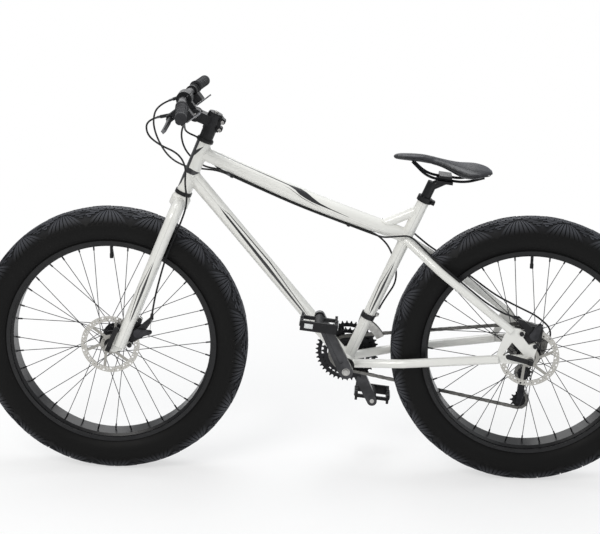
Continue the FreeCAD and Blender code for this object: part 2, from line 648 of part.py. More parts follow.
def axle(spacing, plate_thickness):
    """The fixed axle: cones against the dropouts, a nut at one end and the lever's seat at the other."""
    half = f"{spacing} / 2"
    far = f"({half} + {plate_thickness})"
    cone = f"({half} - flange_thickness * 2)"
    outline = [("0", f"-{far} - skewer_nut_length"),
               ("skewer_nut_diameter * 0.35", f"-{far} - skewer_nut_length"),
               ("skewer_nut_diameter / 2", f"-{far} - skewer_nut_length * 0.7"),
               ("skewer_nut_diameter / 2", f"-{far}"),
               ("axle_end_diameter / 2", f"-{far}"), ("axle_end_diameter / 2", f"-{half}"),
               ("cone_diameter / 2", f"-{half}"), ("cone_diameter / 2", f"-{cone}"),
               ("axle_diameter / 2", f"-{cone}"), ("axle_diameter / 2", cone), ("cone_diameter / 2", cone),
               ("cone_diameter / 2", half), ("axle_end_diameter / 2", half), ("axle_end_diameter / 2", far),
               ("skewer_nut_diameter / 2", far),
               ("skewer_nut_diameter / 2", f"{far} + skewer_nut_length * 0.8"),
               ("0", f"{far} + skewer_nut_length * 0.8")]
    return turned(outline)


def quick_lever(direction, axle_point, seat):
    """A cam lever: its boss sits on the axle's end and its blade lies along direction."""
    centre = axle_point + Y_AXIS * (seat + size.side_gap + size.quick_boss_diameter / 2)
    hinge = direction.cross(Y_AXIS)
    boss = rod("quick_boss_diameter / 2", "quick_lever_width",
               centre - hinge * (size.quick_lever_width / 2), hinge)
    blade_frame = Rotation(direction, hinge, Y_AXIS, "ZXY")
    reach = size.quick_lever_length
    blade = block(reach, "quick_lever_width", "quick_lever_thickness", centre + direction * (reach / 2),
                  blade_frame)
    tip_start = centre + direction * reach - Y_AXIS * (size.quick_lever_thickness / 2)
    tip = rod("quick_lever_width / 2", "quick_lever_thickness", tip_start, Y_AXIS)
    return fuse(boss, blade, tip)


def make_wheel(name, axle_point, spacing, flange_left, flange_right, right_end, rotor_offset):
    frame = across(axle_point)
    node(f"{name}_tyre", tyre(), frame)
    share_node(f"{name}_rim", rim(), frame)
    share_node(f"{name}_rim", valve(), frame)
    left, right = value(flange_left), value(flange_right)
    node(f"{name}_spokes", spokes(left, right), frame)
    left_end = f"({spacing} / 2 - flange_thickness * 2 - side_gap)"
    rotor_face = f"{rotor_offset} - rotor_thickness / 2"
    node(f"{name}_hub", hub(left_end, right_end, flange_left, flange_right, rotor_face), frame)
    disc = across(axle_point + Y_AXIS * value(rotor_face))
    node(f"{name}_rotor", group(rotor(), *rotor_bolts()), disc)


REAR_LEVER_RISE = 14


def make_wheels():
    front_end = "(front_spacing / 2 - flange_thickness * 2 - side_gap)"
    make_wheel("front", front_axle, "front_spacing", "front_flange_offset", "front_flange_offset", front_end,
               "front_rotor_offset")
    rear_end = "(sprocket_offset - sprocket_pitch - side_gap)"
    make_wheel("rear", rear_axle, "rear_spacing", "rear_flange_left", "rear_flange_right", rear_end,
               "rear_rotor_offset")
    for name, point, spacing, thickness in (("front", front_axle, "front_spacing", "fork_tip_thickness"),
                                            ("rear", rear_axle, "rear_spacing", "dropout_thickness")):
        node(f"{name}_axle", axle(spacing, thickness), across(point))
    front_seat = value("front_spacing / 2 + fork_tip_thickness + skewer_nut_length * 0.8")
    rear_seat = value("rear_spacing / 2 + dropout_thickness + skewer_nut_length * 0.8")
    node("front_quick_lever", quick_lever(steer_axis, front_axle, front_seat))
    node("rear_quick_lever",
         quick_lever(Rotation(Y_AXIS, -REAR_LEVER_RISE).multVec(X_AXIS), rear_axle, rear_seat))


# Fork, head bearings and stem
def ring_loop(inner, outer, low, high):
    return [(inner, low), (outer, low), (outer, high), (inner, high)]


def make_head_bearings():
    """Two cups pressed into the head tube; the steerer turns in their bearings."""
    bore = "steerer_diameter / 2 + fit_clearance"
    press = "head_tube_bore / 2"
    rim_radius = "head_tube_diameter / 2 + cup_flange"
    low = "fork_length"
    high = "(fork_length + head_tube_length)"
    lower = turned([(bore, f"{low} - cup_height"), (rim_radius, f"{low} - cup_height"), (rim_radius, low),
                    (press, low), (press, f"{low} + cup_insert"), (bore, f"{low} + cup_insert")])
    upper = turned([(bore, f"{high} - cup_insert"), (press, f"{high} - cup_insert"), (press, high),
                    (rim_radius, high),
                    (rim_radius, f"{high} + cup_height * 0.6"), ("head_tube_diameter / 2",
                                                                 f"{high} + cup_height"),
                    (bore, f"{high} + cup_height")])
    node("headset_cups", group(lower, upper), steer_frame)


CROWN_TOP = "(fork_length - cup_height - side_gap)"
FORK_TIP_SHARES = ((-0.5, 2.2), (0.55, 2.2), (1.2, 0.5), (1.35, 0), (1.1, -0.4))
FORK_TIP_BACK_SHARES = ((0.35, -0.4), (-0.45, 0.2))


def make_fork():
    outer = "steerer_diameter / 2"
    inner = "steerer_diameter / 2 - steerer_wall"
    base = f"{CROWN_TOP} - crown_height"
    top = f"{CROWN_TOP} + steerer_length"
    crown = turned([(inner, base), ("crown_diameter / 2 - cup_flange", base),
                    ("crown_diameter / 2", f"{base} + cup_flange"),
                    ("crown_diameter / 2", f"{CROWN_TOP} - cup_height"),
                    ("head_tube_diameter / 2", CROWN_TOP), (outer, CROWN_TOP), (outer, top), (inner, top)])
    doc.recompute()
    node("fork_crown", crown, steer_frame)
    crown_core = Part.makeCylinder(size.crown_diameter / 2, size.crown_height, Vector(0, 0, value(base)))
    for name, side in SIDES.items():
        make_fork_leg(name, side, crown_core)


FORK_FOOT_SHARE = 0.5
FORK_ROOT_SHARE = 0.17


def make_fork_leg(name, side, crown_core):
    """A bent leg tube with its tip plate, made in the steering frame."""
    spread = side * size.fork_leg_spread
    shoulder = value(CROWN_TOP) - size.fork_leg_diameter / 2 - size.cup_flange
    foot = size.fork_leg_diameter * FORK_FOOT_SHARE
    points = (Vector(0, spread * FORK_ROOT_SHARE, shoulder),
              Vector(0, spread, shoulder - size.fork_shoulder_drop), Vector(0, spread, foot))
    tube = bent_tube(points, size.fork_leg_diameter, size.tube_wall, size.fork_bend_radius)[1]
    cap = Part.makeCylinder(size.fork_leg_diameter / 2, size.tube_wall, points[2])
    tube = tube.fuse(cap).cut(crown_core)
    corners = [Vector(size.fork_offset * across_share, side * size.front_spacing / 2,
                      size.fork_offset * up_share)
               for across_share, up_share in FORK_TIP_SHARES + FORK_TIP_BACK_SHARES]
    tip_face = Part.Face(Part.makePolygon(corners + corners[:1]))
    tip = tip_face.extrude(Y_AXIS * (side * size.fork_tip_thickness))
    slot = Part.makeCylinder(size.axle_slot / 2, size.rear_spacing,
                             Vector(size.fork_offset, -size.rear_spacing / 2, 0), Y_AXIS)
    mouth = Part.makeBox(size.axle_slot, size.rear_spacing, size.fork_offset,
                         Vector(size.fork_offset - size.axle_slot / 2, -size.rear_spacing / 2,
                                -size.fork_offset))
    shape = tube.fuse(tip).cut(slot).cut(mouth).removeSplitter()
    if side > 0:
        shape = shape.fuse(front_caliper_tab()).removeSplitter()
    share_node("fork_legs", solid(max(shape.Solids, key=lambda piece: piece.Volume)), steer_frame)


def front_caliper_tab():
    """The two lugs behind the left leg that the front brake bolts to, in the steering frame."""
    inverse = steer_frame.inverse()
    thick = size.fork_tip_thickness
    radius = size.mount_lug_radius
    lugs = []
    for place in front_mounts():
        hole = at_side(inverse.multVec(place), front_mount_face())
        root = Vector(0, front_mount_face(), hole.z)
        lug = hull_plate(hole, root, radius, radius, thick)
        drill = Part.makeCylinder(size.mount_bolt_diameter / 2 + size.fit_clearance, thick, hole, Y_AXIS)
        lugs.append(lug.cut(drill))
    return lugs


STEM_EAR_SHARES = (0.26, 0.74)


def make_stem():
    """An angle-adjustable stem: a base clamped on the steerer and an arm that carries the handlebar."""
    base_low = value("fork_length + head_tube_length + cup_height + side_gap + spacer_height")
    bore = "steerer_diameter / 2 + fit_clearance"
    spacer = turned(ring_loop(bore, "spacer_diameter / 2",
                              "fork_length + head_tube_length + cup_height + side_gap",
                              "fork_length + head_tube_length + cup_height + side_gap + spacer_height"))
    share_node("stem_base", spacer, steer_frame)

    pivot = stem_pivot()
    mid_height = base_low + size.stem_clamp_height / 2
    clamp = rod("stem_clamp_diameter / 2", "stem_clamp_height", Vector(0, 0, base_low))
    lug = block("stem_clamp_diameter * 0.4", "stem_clamp_diameter * 0.6", "stem_clamp_height * 0.9",
                Vector(-size.stem_clamp_diameter * 0.38, 0, mid_height))
    ears = []
    ear_places = []
    for share in STEM_EAR_SHARES:
        place = Vector(-size.stem_clamp_diameter * 0.62, -size.stem_clamp_diameter * 0.3,
                       base_low + size.stem_clamp_height * share)
        ear_places.append(place)
        ears.append(rod("stem_bolt_diameter * 1.2", "stem_clamp_diameter * 0.6", place, Y_AXIS))
    neck = block(size.stem_pivot_forward, "stem_pivot_width", "stem_pivot_diameter * 0.8",
                 Vector(size.stem_pivot_forward / 2, 0, pivot.z))
    knuckle = rod("stem_pivot_diameter / 2", "stem_pivot_width",
                  pivot - Y_AXIS * (size.stem_pivot_width / 2), Y_AXIS)
    inner_width = "stem_pivot_width * 0.55 + side_gap * 2"
    gap = rod("stem_pivot_diameter * 0.56", inner_width, pivot - Y_AXIS * (value(inner_width) / 2), Y_AXIS)
    reach = size.stem_pivot_diameter
    mouth = block(reach, inner_width, "stem_pivot_diameter * 1.2", pivot + X_AXIS * (reach / 2))
    slit = block("stem_clamp_diameter", "cut_overrun", "stem_clamp_height",
                 Vector(-size.stem_clamp_diameter * 0.6, 0, mid_height))
    steerer_hole = rod(bore, "stem_clamp_height", Vector(0, 0, base_low))
    bolt_hole = rod("stem_bolt_diameter / 2", "stem_pivot_width",
                    pivot - Y_AXIS * (size.stem_pivot_width / 2), Y_AXIS)
    share_node("stem_base",
               cut(fuse(clamp, lug, *ears, neck, knuckle), gap, mouth, slit, steerer_hole, bolt_hole),
               steer_frame)

    bar = stem_bar_centre()
    along = bar - pivot
    turn = Rotation(along, Y_AXIS, along.cross(Y_AXIS), "XYZ")
    arm_knuckle = rod("stem_pivot_diameter * 0.48", "stem_pivot_width * 0.55",
                      pivot - Y_AXIS * (size.stem_pivot_width * 0.275), Y_AXIS)
    arm = block(along.Length, "stem_pivot_width * 0.55", "stem_pivot_diameter * 0.66",
                lerp(pivot, bar, 0.5), turn)
    ring = rod("bar_clamp_diameter / 2 + bar_clamp_wall", "bar_clamp_width",
               bar - Y_AXIS * (size.bar_clamp_width / 2), Y_AXIS)
    bar_hole = rod("bar_clamp_diameter / 2 + fit_clearance", "bar_clamp_width",
                   bar - Y_AXIS * (size.bar_clamp_width / 2), Y_AXIS)
    arm_hole = rod("stem_bolt_diameter / 2", "stem_pivot_width",
                   pivot - Y_AXIS * (size.stem_pivot_width / 2), Y_AXIS)
    split = block("cut_overrun", "bar_clamp_width", "bar_clamp_diameter * 2",
                  bar + along.normalize() * size.cut_overrun, turn)
    node("stem_arm", cut(fuse(arm_knuckle, arm, ring), bar_hole, arm_hole, split), steer_frame)

    bolts = [rod("stem_bolt_diameter / 2 - fit_clearance", "stem_pivot_width",
                 pivot - Y_AXIS * (size.stem_pivot_width / 2), Y_AXIS)]
    for place in ear_places:
        bolts.append(rod("stem_bolt_diameter * 0.8", "stem_bolt_diameter", place, -Y_AXIS))
        bolts.append(rod("stem_bolt_diameter * 0.8", "stem_bolt_diameter",
                         place + Y_AXIS * (size.stem_clamp_diameter * 0.6), Y_AXIS))
    cap_top = Vector(0, 0, base_low + size.stem_clamp_height)
    bolts.append(rod("stem_clamp_diameter * 0.45", "cup_flange", cap_top))
    share_node("stem_base", group(*bolts), steer_frame)


def stem_pivot():
    base_low = value("fork_length + head_tube_length + cup_height + side_gap + spacer_height")
    return Vector(size.stem_pivot_forward, 0, base_low + size.stem_clamp_height / 2)


def stem_bar_centre():
    return stem_pivot() + Vector(size.stem_arm_forward, 0, size.stem_arm_rise)


# Handlebar and controls
bar_centre = steer_frame.multVec(stem_bar_centre())


def bar_end(side):
    return bar_centre + Vector(-size.bar_backsweep, side * size.bar_half_width, -size.bar_drop)


def bar_bend(side):
    return bar_centre + Y_AXIS * (side * size.bar_straight)


def bar_frame(side, inboard):
    """On the bar, so far in from its end: X forward, Z outwards; Y is down on the left, up on the right."""
    outward = (bar_end(side) - bar_bend(side)).normalize()
    down = outward.cross(X_AXIS)
    return Placement(bar_end(side) - outward * inboard, Rotation(X_AXIS, down, outward, "ZYX"))


def make_handlebar():
    points = (bar_end(-1), bar_bend(-1), bar_bend(1), bar_end(1))
    outer, tube = bent_tube(points, size.bar_diameter, size.bar_wall, size.bar_straight * 4)
    half = size.bar_clamp_width / 2 + size.bar_clamp_wall
    sleeve = Part.makeCylinder(size.bar_clamp_diameter / 2, 2 * half, bar_centre - Y_AXIS * half,
                               Y_AXIS).cut(outer)
    node("handlebar", solid(tube.fuse(sleeve).removeSplitter()))
    for name, side in SIDES.items():
        share_node("grips", grip(), bar_frame(side, size.grip_length))
        make_controls(name, side)


def grip():
    """A ribbed rubber sleeve, closed at its outer end."""
    bore = "bar_diameter / 2 + fit_clearance"
    outline = [(bore, "0"), ("grip_flange_diameter / 2", "0"),
               ("grip_flange_diameter / 2", "grip_rib_depth * 3")]
    count = int(size.grip_ribs)
    for index in range(count):
        low, high = 0.06 + 0.86 * index / count, 0.06 + 0.86 * (index + 0.62) / count
        outline += [("grip_diameter / 2 - grip_rib_depth", f"grip_length * {low:.4f}"),
                    ("grip_diameter / 2", f"grip_length * {low + 0.012:.4f}"),
                    ("grip_diameter / 2", f"grip_length * {high:.4f}"),
                    ("grip_diameter / 2 - grip_rib_depth", f"grip_length * {high + 0.012:.4f}")]
    outline += [("grip_diameter / 2", "grip_length * 0.95"),
                ("grip_diameter / 2", "grip_length + grip_rib_depth"),
                ("grip_diameter / 2 - grip_rib_depth * 2", "grip_length + grip_rib_depth * 3"),
                ("0", "grip_length + grip_rib_depth * 3"),
                ("0", "grip_length + fit_clearance"),
                (bore, "grip_length + fit_clearance")]
    return turned(outline)


def control_frame(side):
    """Where the controls sit on the bar, turned so that the lever hangs below level."""
    frame = bar_frame(side, size.grip_length + size.perch_width + size.side_gap)
    return frame.multiply(Placement(ORIGIN, Rotation(Z_AXIS, side * size.lever_droop)))


BARREL_ROOT_SHARES = (0.5, 0.25)
BARREL_SHARES = (0.808, -0.294, -0.5)


def barrel_ends(side):
    """The two ends of the brake barrel adjuster, in the control frame."""
    start = Vector(lever_nose() * BARREL_ROOT_SHARES[0], 0, size.perch_width * BARREL_ROOT_SHARES[1])
    along = Vector(BARREL_SHARES[0], side * BARREL_SHARES[1], BARREL_SHARES[2])
    return start, start + along.normalize() * size.barrel_length


POD_GRIP_SHARE = 0.3
POD_FORWARD_SHARE = 0.2


def pod_middle(side):
    drop = size.bar_diameter / 2 + size.perch_wall * POD_GRIP_SHARE + size.pod_height / 2
    return Vector(size.pod_depth * POD_FORWARD_SHARE, side * drop, -size.pod_width / 2 - size.side_gap)


POD_BARREL_SHARES = (0.3, 0.31, -0.9)
POD_BARREL_REACH_SHARE = 0.4


def pod_barrel_ends(side):
    """The two ends of the shifter's barrel adjuster, in the control frame."""
    along = Vector(POD_BARREL_SHARES[0], side * POD_BARREL_SHARES[1], POD_BARREL_SHARES[2]).normalize()
    start = pod_middle(side)
    return start, start + along * (size.pod_width / 2 + size.barrel_length * POD_BARREL_REACH_SHARE)


NOSE_SHARE = 0.7


def lever_nose():
    return size.bar_diameter / 2 + size.lever_reach * NOSE_SHARE


def make_controls(name, side):
    """The brake perch with its lever, and the shifter pod with its thumb paddle, on one end of the bar."""
    frame = control_frame(side)
    down = side
    clamp = rod("bar_diameter / 2 + perch_wall", "perch_width")
    reach = lever_nose()
    nose = block(reach, "lever_thickness + side_gap * 2 + perch_wall * 2", "perch_width",
                 Vector(reach / 2, 0, size.perch_width / 2))
    barrel = rod_between("barrel_diameter / 2", *barrel_ends(side))
    pivot = lever_pivot()
    knuckle_gap = rod("lever_width * 0.96", "lever_thickness + side_gap * 2",
                      pivot - Y_AXIS * (size.lever_thickness / 2 + size.side_gap), Y_AXIS)
    bore = rod("bar_diameter / 2 + fit_clearance", "perch_width")
    perch = cut(fuse(clamp, nose, barrel), bore, knuckle_gap)
    pod_centre = pod_middle(side)
    pod_case = block("pod_depth", "pod_height", "pod_width", pod_centre)
    pod_ring = rod("bar_diameter / 2 + perch_wall", "perch_width",
                   Vector(0, 0, -size.perch_width - size.side_gap - size.pod_width * 0.3))
    pod_barrel = rod_between("barrel_diameter / 2", *pod_barrel_ends(side))
    pod_bore = rod("bar_diameter / 2 + fit_clearance", "pod_width * 2", Vector(0, 0, -size.pod_width * 2))
    pod = cut(fuse(pod_case, pod_ring, pod_barrel), pod_bore)
    share_node("control_mounts", group(perch, pod), frame)
    node(f"brake_lever_{name}", lever(pivot), frame)
    node(f"shift_paddle_{name}", paddle(pod_centre, down), frame)


def lever_pivot():
    return Vector(size.bar_diameter / 2 + size.lever_reach * 0.62, 0, size.perch_width / 2)


LEVER_BACK_SHARES = ((-0.05, -0.05), (0.12, -0.065), (0.5, -0.03), (1, 0.08))
LEVER_FRONT_SHARES = ((1.02, 0.16), (0.7, 0.09), (0.35, 0.04), (0, 0.065))


def lever(pivot):
    """A bent blade that swings about the perch's pivot towards the grip."""
    low = -Y_AXIS * (size.lever_thickness / 2)
    corners = [pivot + low + Vector(size.lever_length * out, 0, size.lever_length * along)
               for along, out in LEVER_BACK_SHARES + LEVER_FRONT_SHARES]
    blade = Part.Face(Part.makePolygon(corners + corners[:1])).extrude(Y_AXIS * size.lever_thickness)
    boss = Part.makeCylinder(size.lever_width * 0.62, size.lever_thickness, pivot + low, Y_AXIS)
    return solid(blade.fuse(boss).removeSplitter())


PADDLE_SWEEP = 18


def paddle(pod_centre, down):
    """A thumb paddle under the shifter pod."""
    under = pod_centre + Y_AXIS * (down * (size.pod_height / 2 + size.side_gap + size.paddle_thickness / 2))
    hinge = rod("pod_height * 0.3", "paddle_thickness", under - Y_AXIS * (size.paddle_thickness / 2), Y_AXIS)
    turn = Rotation(Y_AXIS, PADDLE_SWEEP)
    middle = under + turn.multVec(Vector(-size.paddle_length / 2, 0, 0))
    arm = block("paddle_length", "paddle_thickness", "pod_height * 0.45", middle, turn)
    end = under + turn.multVec(Vector(-size.paddle_length, 0, 0)) - Y_AXIS * (size.paddle_thickness / 2)
    tip = rod("pod_height * 0.36", "paddle_thickness", end, Y_AXIS)
    return fuse(hinge, arm, tip)


# Disc brakes
REAR_CALIPER_ANGLE = 95
FRONT_CALIPER_ANGLE = 150


def polar(point, radius, angle):
    """A point at a radius and an angle above forward, in the side view."""
    turn = math.radians(angle)
    return point + Vector(radius * math.cos(turn), 0, radius * math.sin(turn))


def flat_turn(angle):
    """A turn about the rider's left that lifts forward by an angle."""
    return Rotation(Y_AXIS, -angle)


def hull_plate(first, second, first_radius, second_radius, thickness):
    """A plate with two round ends, padded to the rider's left of its two points."""
    along = (second - first).normalize()
    square = Y_AXIS.cross(along)
    corners = (first + square * first_radius, first - along * first_radius, first - square * first_radius,
               second - square * second_radius, second + along * second_radius,
               second + square * second_radius)
    edges = [Part.Arc(*corners[:3]).toShape(), Part.LineSegment(corners[2], corners[3]).toShape(),
             Part.Arc(*corners[3:]).toShape(), Part.LineSegment(corners[5], corners[0]).toShape()]
    return Part.Face(Part.Wire(edges)).extrude(Y_AXIS * thickness)


def at_side(point, offset):
    """The same place in the side view, at another distance to the rider's left."""
    return Vector(point.x, offset, point.z)


STOP_WALL_SHARE = 0.1
ARM_ROOT_SHARE = 0.42


def make_caliper(name, axle_point, rotor_offset, angle, outer_face, actuator, mounts, foot_low, bolt_face,
                 stop):
    """A cable disc brake: a body that straddles the disc, two pads, an actuator and two mounting bolts."""
    low = rotor_offset - size.caliper_inner
    middle = at_side(polar(axle_point, size.caliper_radius, angle), (low + outer_face) / 2)
    body = block("caliper_depth", outer_face - low, "caliper_length", middle, flat_turn(angle))
    slot_start = at_side(axle_point, rotor_offset - size.caliper_slot / 2)
    slot = rod("rotor_radius + pad_gap * 5", "caliper_slot", slot_start, Y_AXIS)
    drum = rod("actuator_diameter / 2", actuator.y + size.actuator_height - foot_low,
               at_side(actuator, foot_low), Y_AXIS)
    foot = solid(hull_plate(*(at_side(point, foot_low) for point in mounts), size.mount_lug_radius,
                            size.mount_lug_radius,
                            outer_face - foot_low))
    bolts = []
    for point in mounts:
        bolts.append(rod("mount_bolt_diameter / 2", bolt_face - foot_low, at_side(point, foot_low), Y_AXIS))
        bolts.append(rod("mount_bolt_diameter", "mount_bolt_diameter * 0.8", at_side(point, bolt_face),
                         Y_AXIS))
    pads = []
    pad_thickness = size.caliper_slot / 2 - size.rotor_thickness / 2 - size.pad_gap
    for start in (rotor_offset - size.caliper_slot / 2,
                  rotor_offset + size.rotor_thickness / 2 + size.pad_gap):
        pads.append(rod("rotor_track * 0.5", pad_thickness,
                        at_side(polar(axle_point, size.caliper_radius, angle), start), Y_AXIS))
    bracket_low = actuator.y + size.actuator_height - size.caliper_arm_thickness
    bracket = solid(hull_plate(at_side(actuator, bracket_low), at_side(stop, bracket_low),
                               size.actuator_diameter * ARM_ROOT_SHARE,
                               size.housing_diameter, size.caliper_arm_thickness))
    arm_end = actuator_wire_end(name, actuator)
    socket = rod("housing_diameter * 0.9", "cable_stop_length", stop, stop - arm_end)
    wire_hole = rod("housing_diameter / 2 + fit_clearance", "cable_stop_length",
                    stop + (stop - arm_end).normalize() * (size.caliper_arm_length * STOP_WALL_SHARE),
                    stop - arm_end)
    node(f"{name}_caliper",
         group(fuse(cut(fuse(body, foot), slot), drum, cut(fuse(bracket, socket), wire_hole),
                                      *bolts), *pads))


REAR_ARM_ANGLE = 115
FRONT_ARM_ANGLE = 172


def actuator_wire_end(name, actuator):
    """Where the brake wire is clamped on the actuator's arm."""
    angle = {"front": FRONT_ARM_ANGLE, "rear": REAR_ARM_ANGLE}[name]
    face = actuator.y + size.actuator_height + size.side_gap + size.caliper_arm_thickness / 2
    return at_side(polar(actuator, size.caliper_arm_length, angle), face)


ARM_TIP_SHARE = 0.2


def caliper_arm(actuator, direction):
    """The lever on the actuator that the brake wire pulls."""
    face = actuator.y + size.actuator_height + size.side_gap
    start = at_side(actuator, face)
    end = start + direction * size.caliper_arm_length
    shape = hull_plate(start, end, size.actuator_diameter * ARM_ROOT_SHARE,
                       size.actuator_diameter * ARM_TIP_SHARE,
                       size.caliper_arm_thickness)
    anchor = Part.makeCylinder(size.wire_diameter * 1.6, size.caliper_arm_thickness,
                               end + Y_AXIS * size.caliper_arm_thickness, Y_AXIS)
    return solid(shape.fuse(anchor).removeSplitter())


def rear_actuator():
    return at_side(polar(rear_axle, size.caliper_radius, REAR_CALIPER_ANGLE), size.rear_spacing / 2)


def front_actuator():
    return at_side(polar(front_axle, size.caliper_radius * 1.24, FRONT_CALIPER_ANGLE + 3), front_mount_face())


def front_mount_face():
    return size.front_rotor_offset + size.caliper_slot / 2 + size.mount_bolt_diameter * 0.65


def rear_mounts():
    return [rear_axle + Vector(size.dropout_forward * forward, 0, size.dropout_rise * up) for forward,
            up in REAR_MOUNT_SHARES]


FRONT_MOUNT_SHARES = (0.3, 1.27)


def front_mounts():
    return [steer_point(-size.fork_leg_diameter * 0.72, 0, size.rotor_radius * height)
            for height in FRONT_MOUNT_SHARES]


STOP_HEADINGS = {"front": 98, "rear": 18}
STOP_REACH_SHARES = {"front": 1.2, "rear": 1.9}


def cable_stop(name, actuator):
    """Where the brake housing ends, short of the arm its wire pulls."""
    heading, reach = STOP_HEADINGS[name], STOP_REACH_SHARES[name]
    return actuator_wire_end(name, actuator) + polar(ORIGIN, size.caliper_arm_length * reach, heading)


def make_brakes():
    make_caliper("rear", rear_axle, size.rear_rotor_offset, REAR_CALIPER_ANGLE,
                 size.rear_spacing / 2 - size.side_gap,
                 rear_actuator(), rear_mounts(), size.rear_spacing / 2 - size.mount_bolt_diameter * 0.8,
                 size.rear_spacing / 2 + size.dropout_thickness, cable_stop("rear", rear_actuator()))
    make_caliper("front", front_axle, size.front_rotor_offset, FRONT_CALIPER_ANGLE, front_mount_face(),
                 front_actuator(),
                 front_mounts(), size.front_rotor_offset + size.caliper_slot / 2,
                 front_mount_face() + size.fork_tip_thickness,
                 cable_stop("front", front_actuator()))
    node("rear_caliper_arm", caliper_arm(rear_actuator(), polar(ORIGIN, 1, REAR_ARM_ANGLE)))
    node("front_caliper_arm", caliper_arm(front_actuator(), polar(ORIGIN, 1, FRONT_ARM_ANGLE)))


# Drive train
SEAT_TURN_OF_TOOTH = 55
TOOTH_TIP_SHARE = 0.08
TOOTH_HEIGHT_SHARE = 0.36
SEAT_RADIUS_SHARE = 1.038


def pitch_radius(teeth):
    return size.chain_pitch / 2 / math.sin(math.pi / teeth)


def toothed_disc(teeth, thickness, bore, phase=0):
    """A chain wheel in the side view: its first tooth gap points along phase; it is padded to the left."""
    reach = pitch_radius(teeth)
    seat = size.roller_diameter / 2 * SEAT_RADIUS_SHARE
    tip = reach + size.roller_diameter * TOOTH_HEIGHT_SHARE
    half_tip = size.chain_pitch * TOOTH_TIP_SHARE / tip
    step = 2 * math.pi / teeth
    open_turn = math.radians(SEAT_TURN_OF_TOOTH)
    edges = []
    for index in range(int(teeth)):
        angle = math.radians(phase) + index * step
        outward, along = circle_point(angle, 1), circle_point(angle + math.pi / 2, 1)
        gap = outward * reach
        sunk = outward * (seat * math.cos(open_turn))
        swung = along * (seat * math.sin(open_turn))
        first = gap - sunk - swung
        last = gap - sunk + swung
        rise = circle_point(angle + step / 2 - half_tip, tip)
        top = circle_point(angle + step / 2 + half_tip, tip)
        turn = angle + step
        outward, along = circle_point(turn, 1), circle_point(turn + math.pi / 2, 1)
        depth = outward * (seat * math.cos(open_turn))
        ahead = outward * reach - depth - along * (seat * math.sin(open_turn))
        edges.append(Part.Arc(first, gap - circle_point(angle, seat), last).toShape())
        edges += [Part.LineSegment(*ends).toShape() for ends in ((last, rise), (rise, top), (top, ahead))]
    wheel = Part.Face(Part.Wire(edges)).extrude(Y_AXIS * thickness)
    return wheel.cut(Part.makeCylinder(bore, thickness, ORIGIN, Y_AXIS))


def circle_point(angle, radius):
    return Vector(radius * math.cos(angle), 0, radius * math.sin(angle))


class ChainRoute:
    """The closed path of the chain's rollers round four wheels, measured in pitches."""

    def __init__(self, cage_lean):
        lean = math.radians(cage_lean)
        guide = rear_axle - Vector(size.guide_pulley_back, 0, size.guide_pulley_drop)
        tension = guide + Vector(size.cage_length * math.sin(lean), 0, -size.cage_length * math.cos(lean))
        self.wheels = [(bottom_bracket, size.inner_ring_teeth, 1, -size.inner_ring_offset),
                       (rear_axle, size.largest_sprocket_teeth, 1, -size.sprocket_offset),
                       (guide, size.pulley_teeth, -1, -size.sprocket_offset),
                       (tension, size.pulley_teeth, 1, -size.sprocket_offset)]
        headings = [self.heading(here, ahead) for here, ahead in self.pairs()]
        self.runs = []
        for index, ((here, ahead), heading) in enumerate(zip(self.pairs(), headings)):
            centre, teeth, sense, offset = here
            arrival = self.contact(here, headings[index - 1])
            leaving = self.contact(here, heading)
            sweep = (sense * (leaving - arrival)) % (2 * math.pi)
            self.runs.append(("arc", sweep * teeth / (2 * math.pi), here, arrival))
            start = centre + circle_point(leaving, pitch_radius(teeth)) + Y_AXIS * offset
            end = ahead[0] + circle_point(self.contact(ahead, heading),
                                          pitch_radius(ahead[1])) + Y_AXIS * ahead[3]
            self.runs.append(("line", (end - start).Length / size.chain_pitch, start, end))
        self.pitches = sum(run[1] for run in self.runs)

    def pairs(self):
        return list(zip(self.wheels, self.wheels[1:] + self.wheels[:1]))

    def heading(self, here, ahead):
        """The direction of the straight run between two wheels."""
        gap = ahead[0] - here[0]
        lift = here[2] * pitch_radius(here[1]) - ahead[2] * pitch_radius(ahead[1])
        return math.atan2(gap.z, gap.x) + math.asin(lift / gap.Length)

    def contact(self, wheel, heading):
        """The angle on a wheel where a run with this heading touches it."""
        return heading - wheel[2] * math.pi / 2

    def place(self, distance):
        """The roller's place after so many pitches from the first wheel."""
        for kind, length, first, second in self.runs:
            if distance > length:
                distance -= length
                continue
            if kind == "line":
                return lerp(first, second, distance / length)
            centre, teeth, sense, offset = first
            angle = second + sense * distance * 2 * math.pi / teeth
            return centre + circle_point(angle, pitch_radius(teeth)) + Y_AXIS * offset
        return self.place(0)

    def phase(self, wheel_index):
        """The angle of the first roller that sits on a wheel."""
        before = sum(run[1] for run in self.runs[:2 * wheel_index])
        first = math.ceil(before) - before
        centre, teeth, sense, offset = self.wheels[wheel_index]
        arrival = self.runs[2 * wheel_index][3]
        return math.degrees(arrival + sense * first * 2 * math.pi / teeth)


CAGE_STEPS = 50
CAGE_SEARCH = 14


def fitted_chain_route():
    """The cage leans until the chain holds an even number of links; leaning further shortens the path."""
    low, high = size.cage_lean - CAGE_SEARCH, size.cage_lean + CAGE_SEARCH
    links = 2 * round(ChainRoute(size.cage_lean).pitches / 2)
    for step in range(CAGE_STEPS):
        middle = (low + high) / 2
        if ChainRoute(middle).pitches > links:
            low = middle
        else:
            high = middle
    print(f"The chain holds {links} links with the cage leaning {middle:.2f} degrees")
    return ChainRoute(middle), links


def link_plate(thickness, offset):
    """One side plate of a chain link, between rollers at the origin and one pitch along X."""
    half = size.chain_plate_height / 2
    return hull_plate(Vector(0, offset, 0), Vector(size.chain_pitch, offset, 0), half, half, thickness)


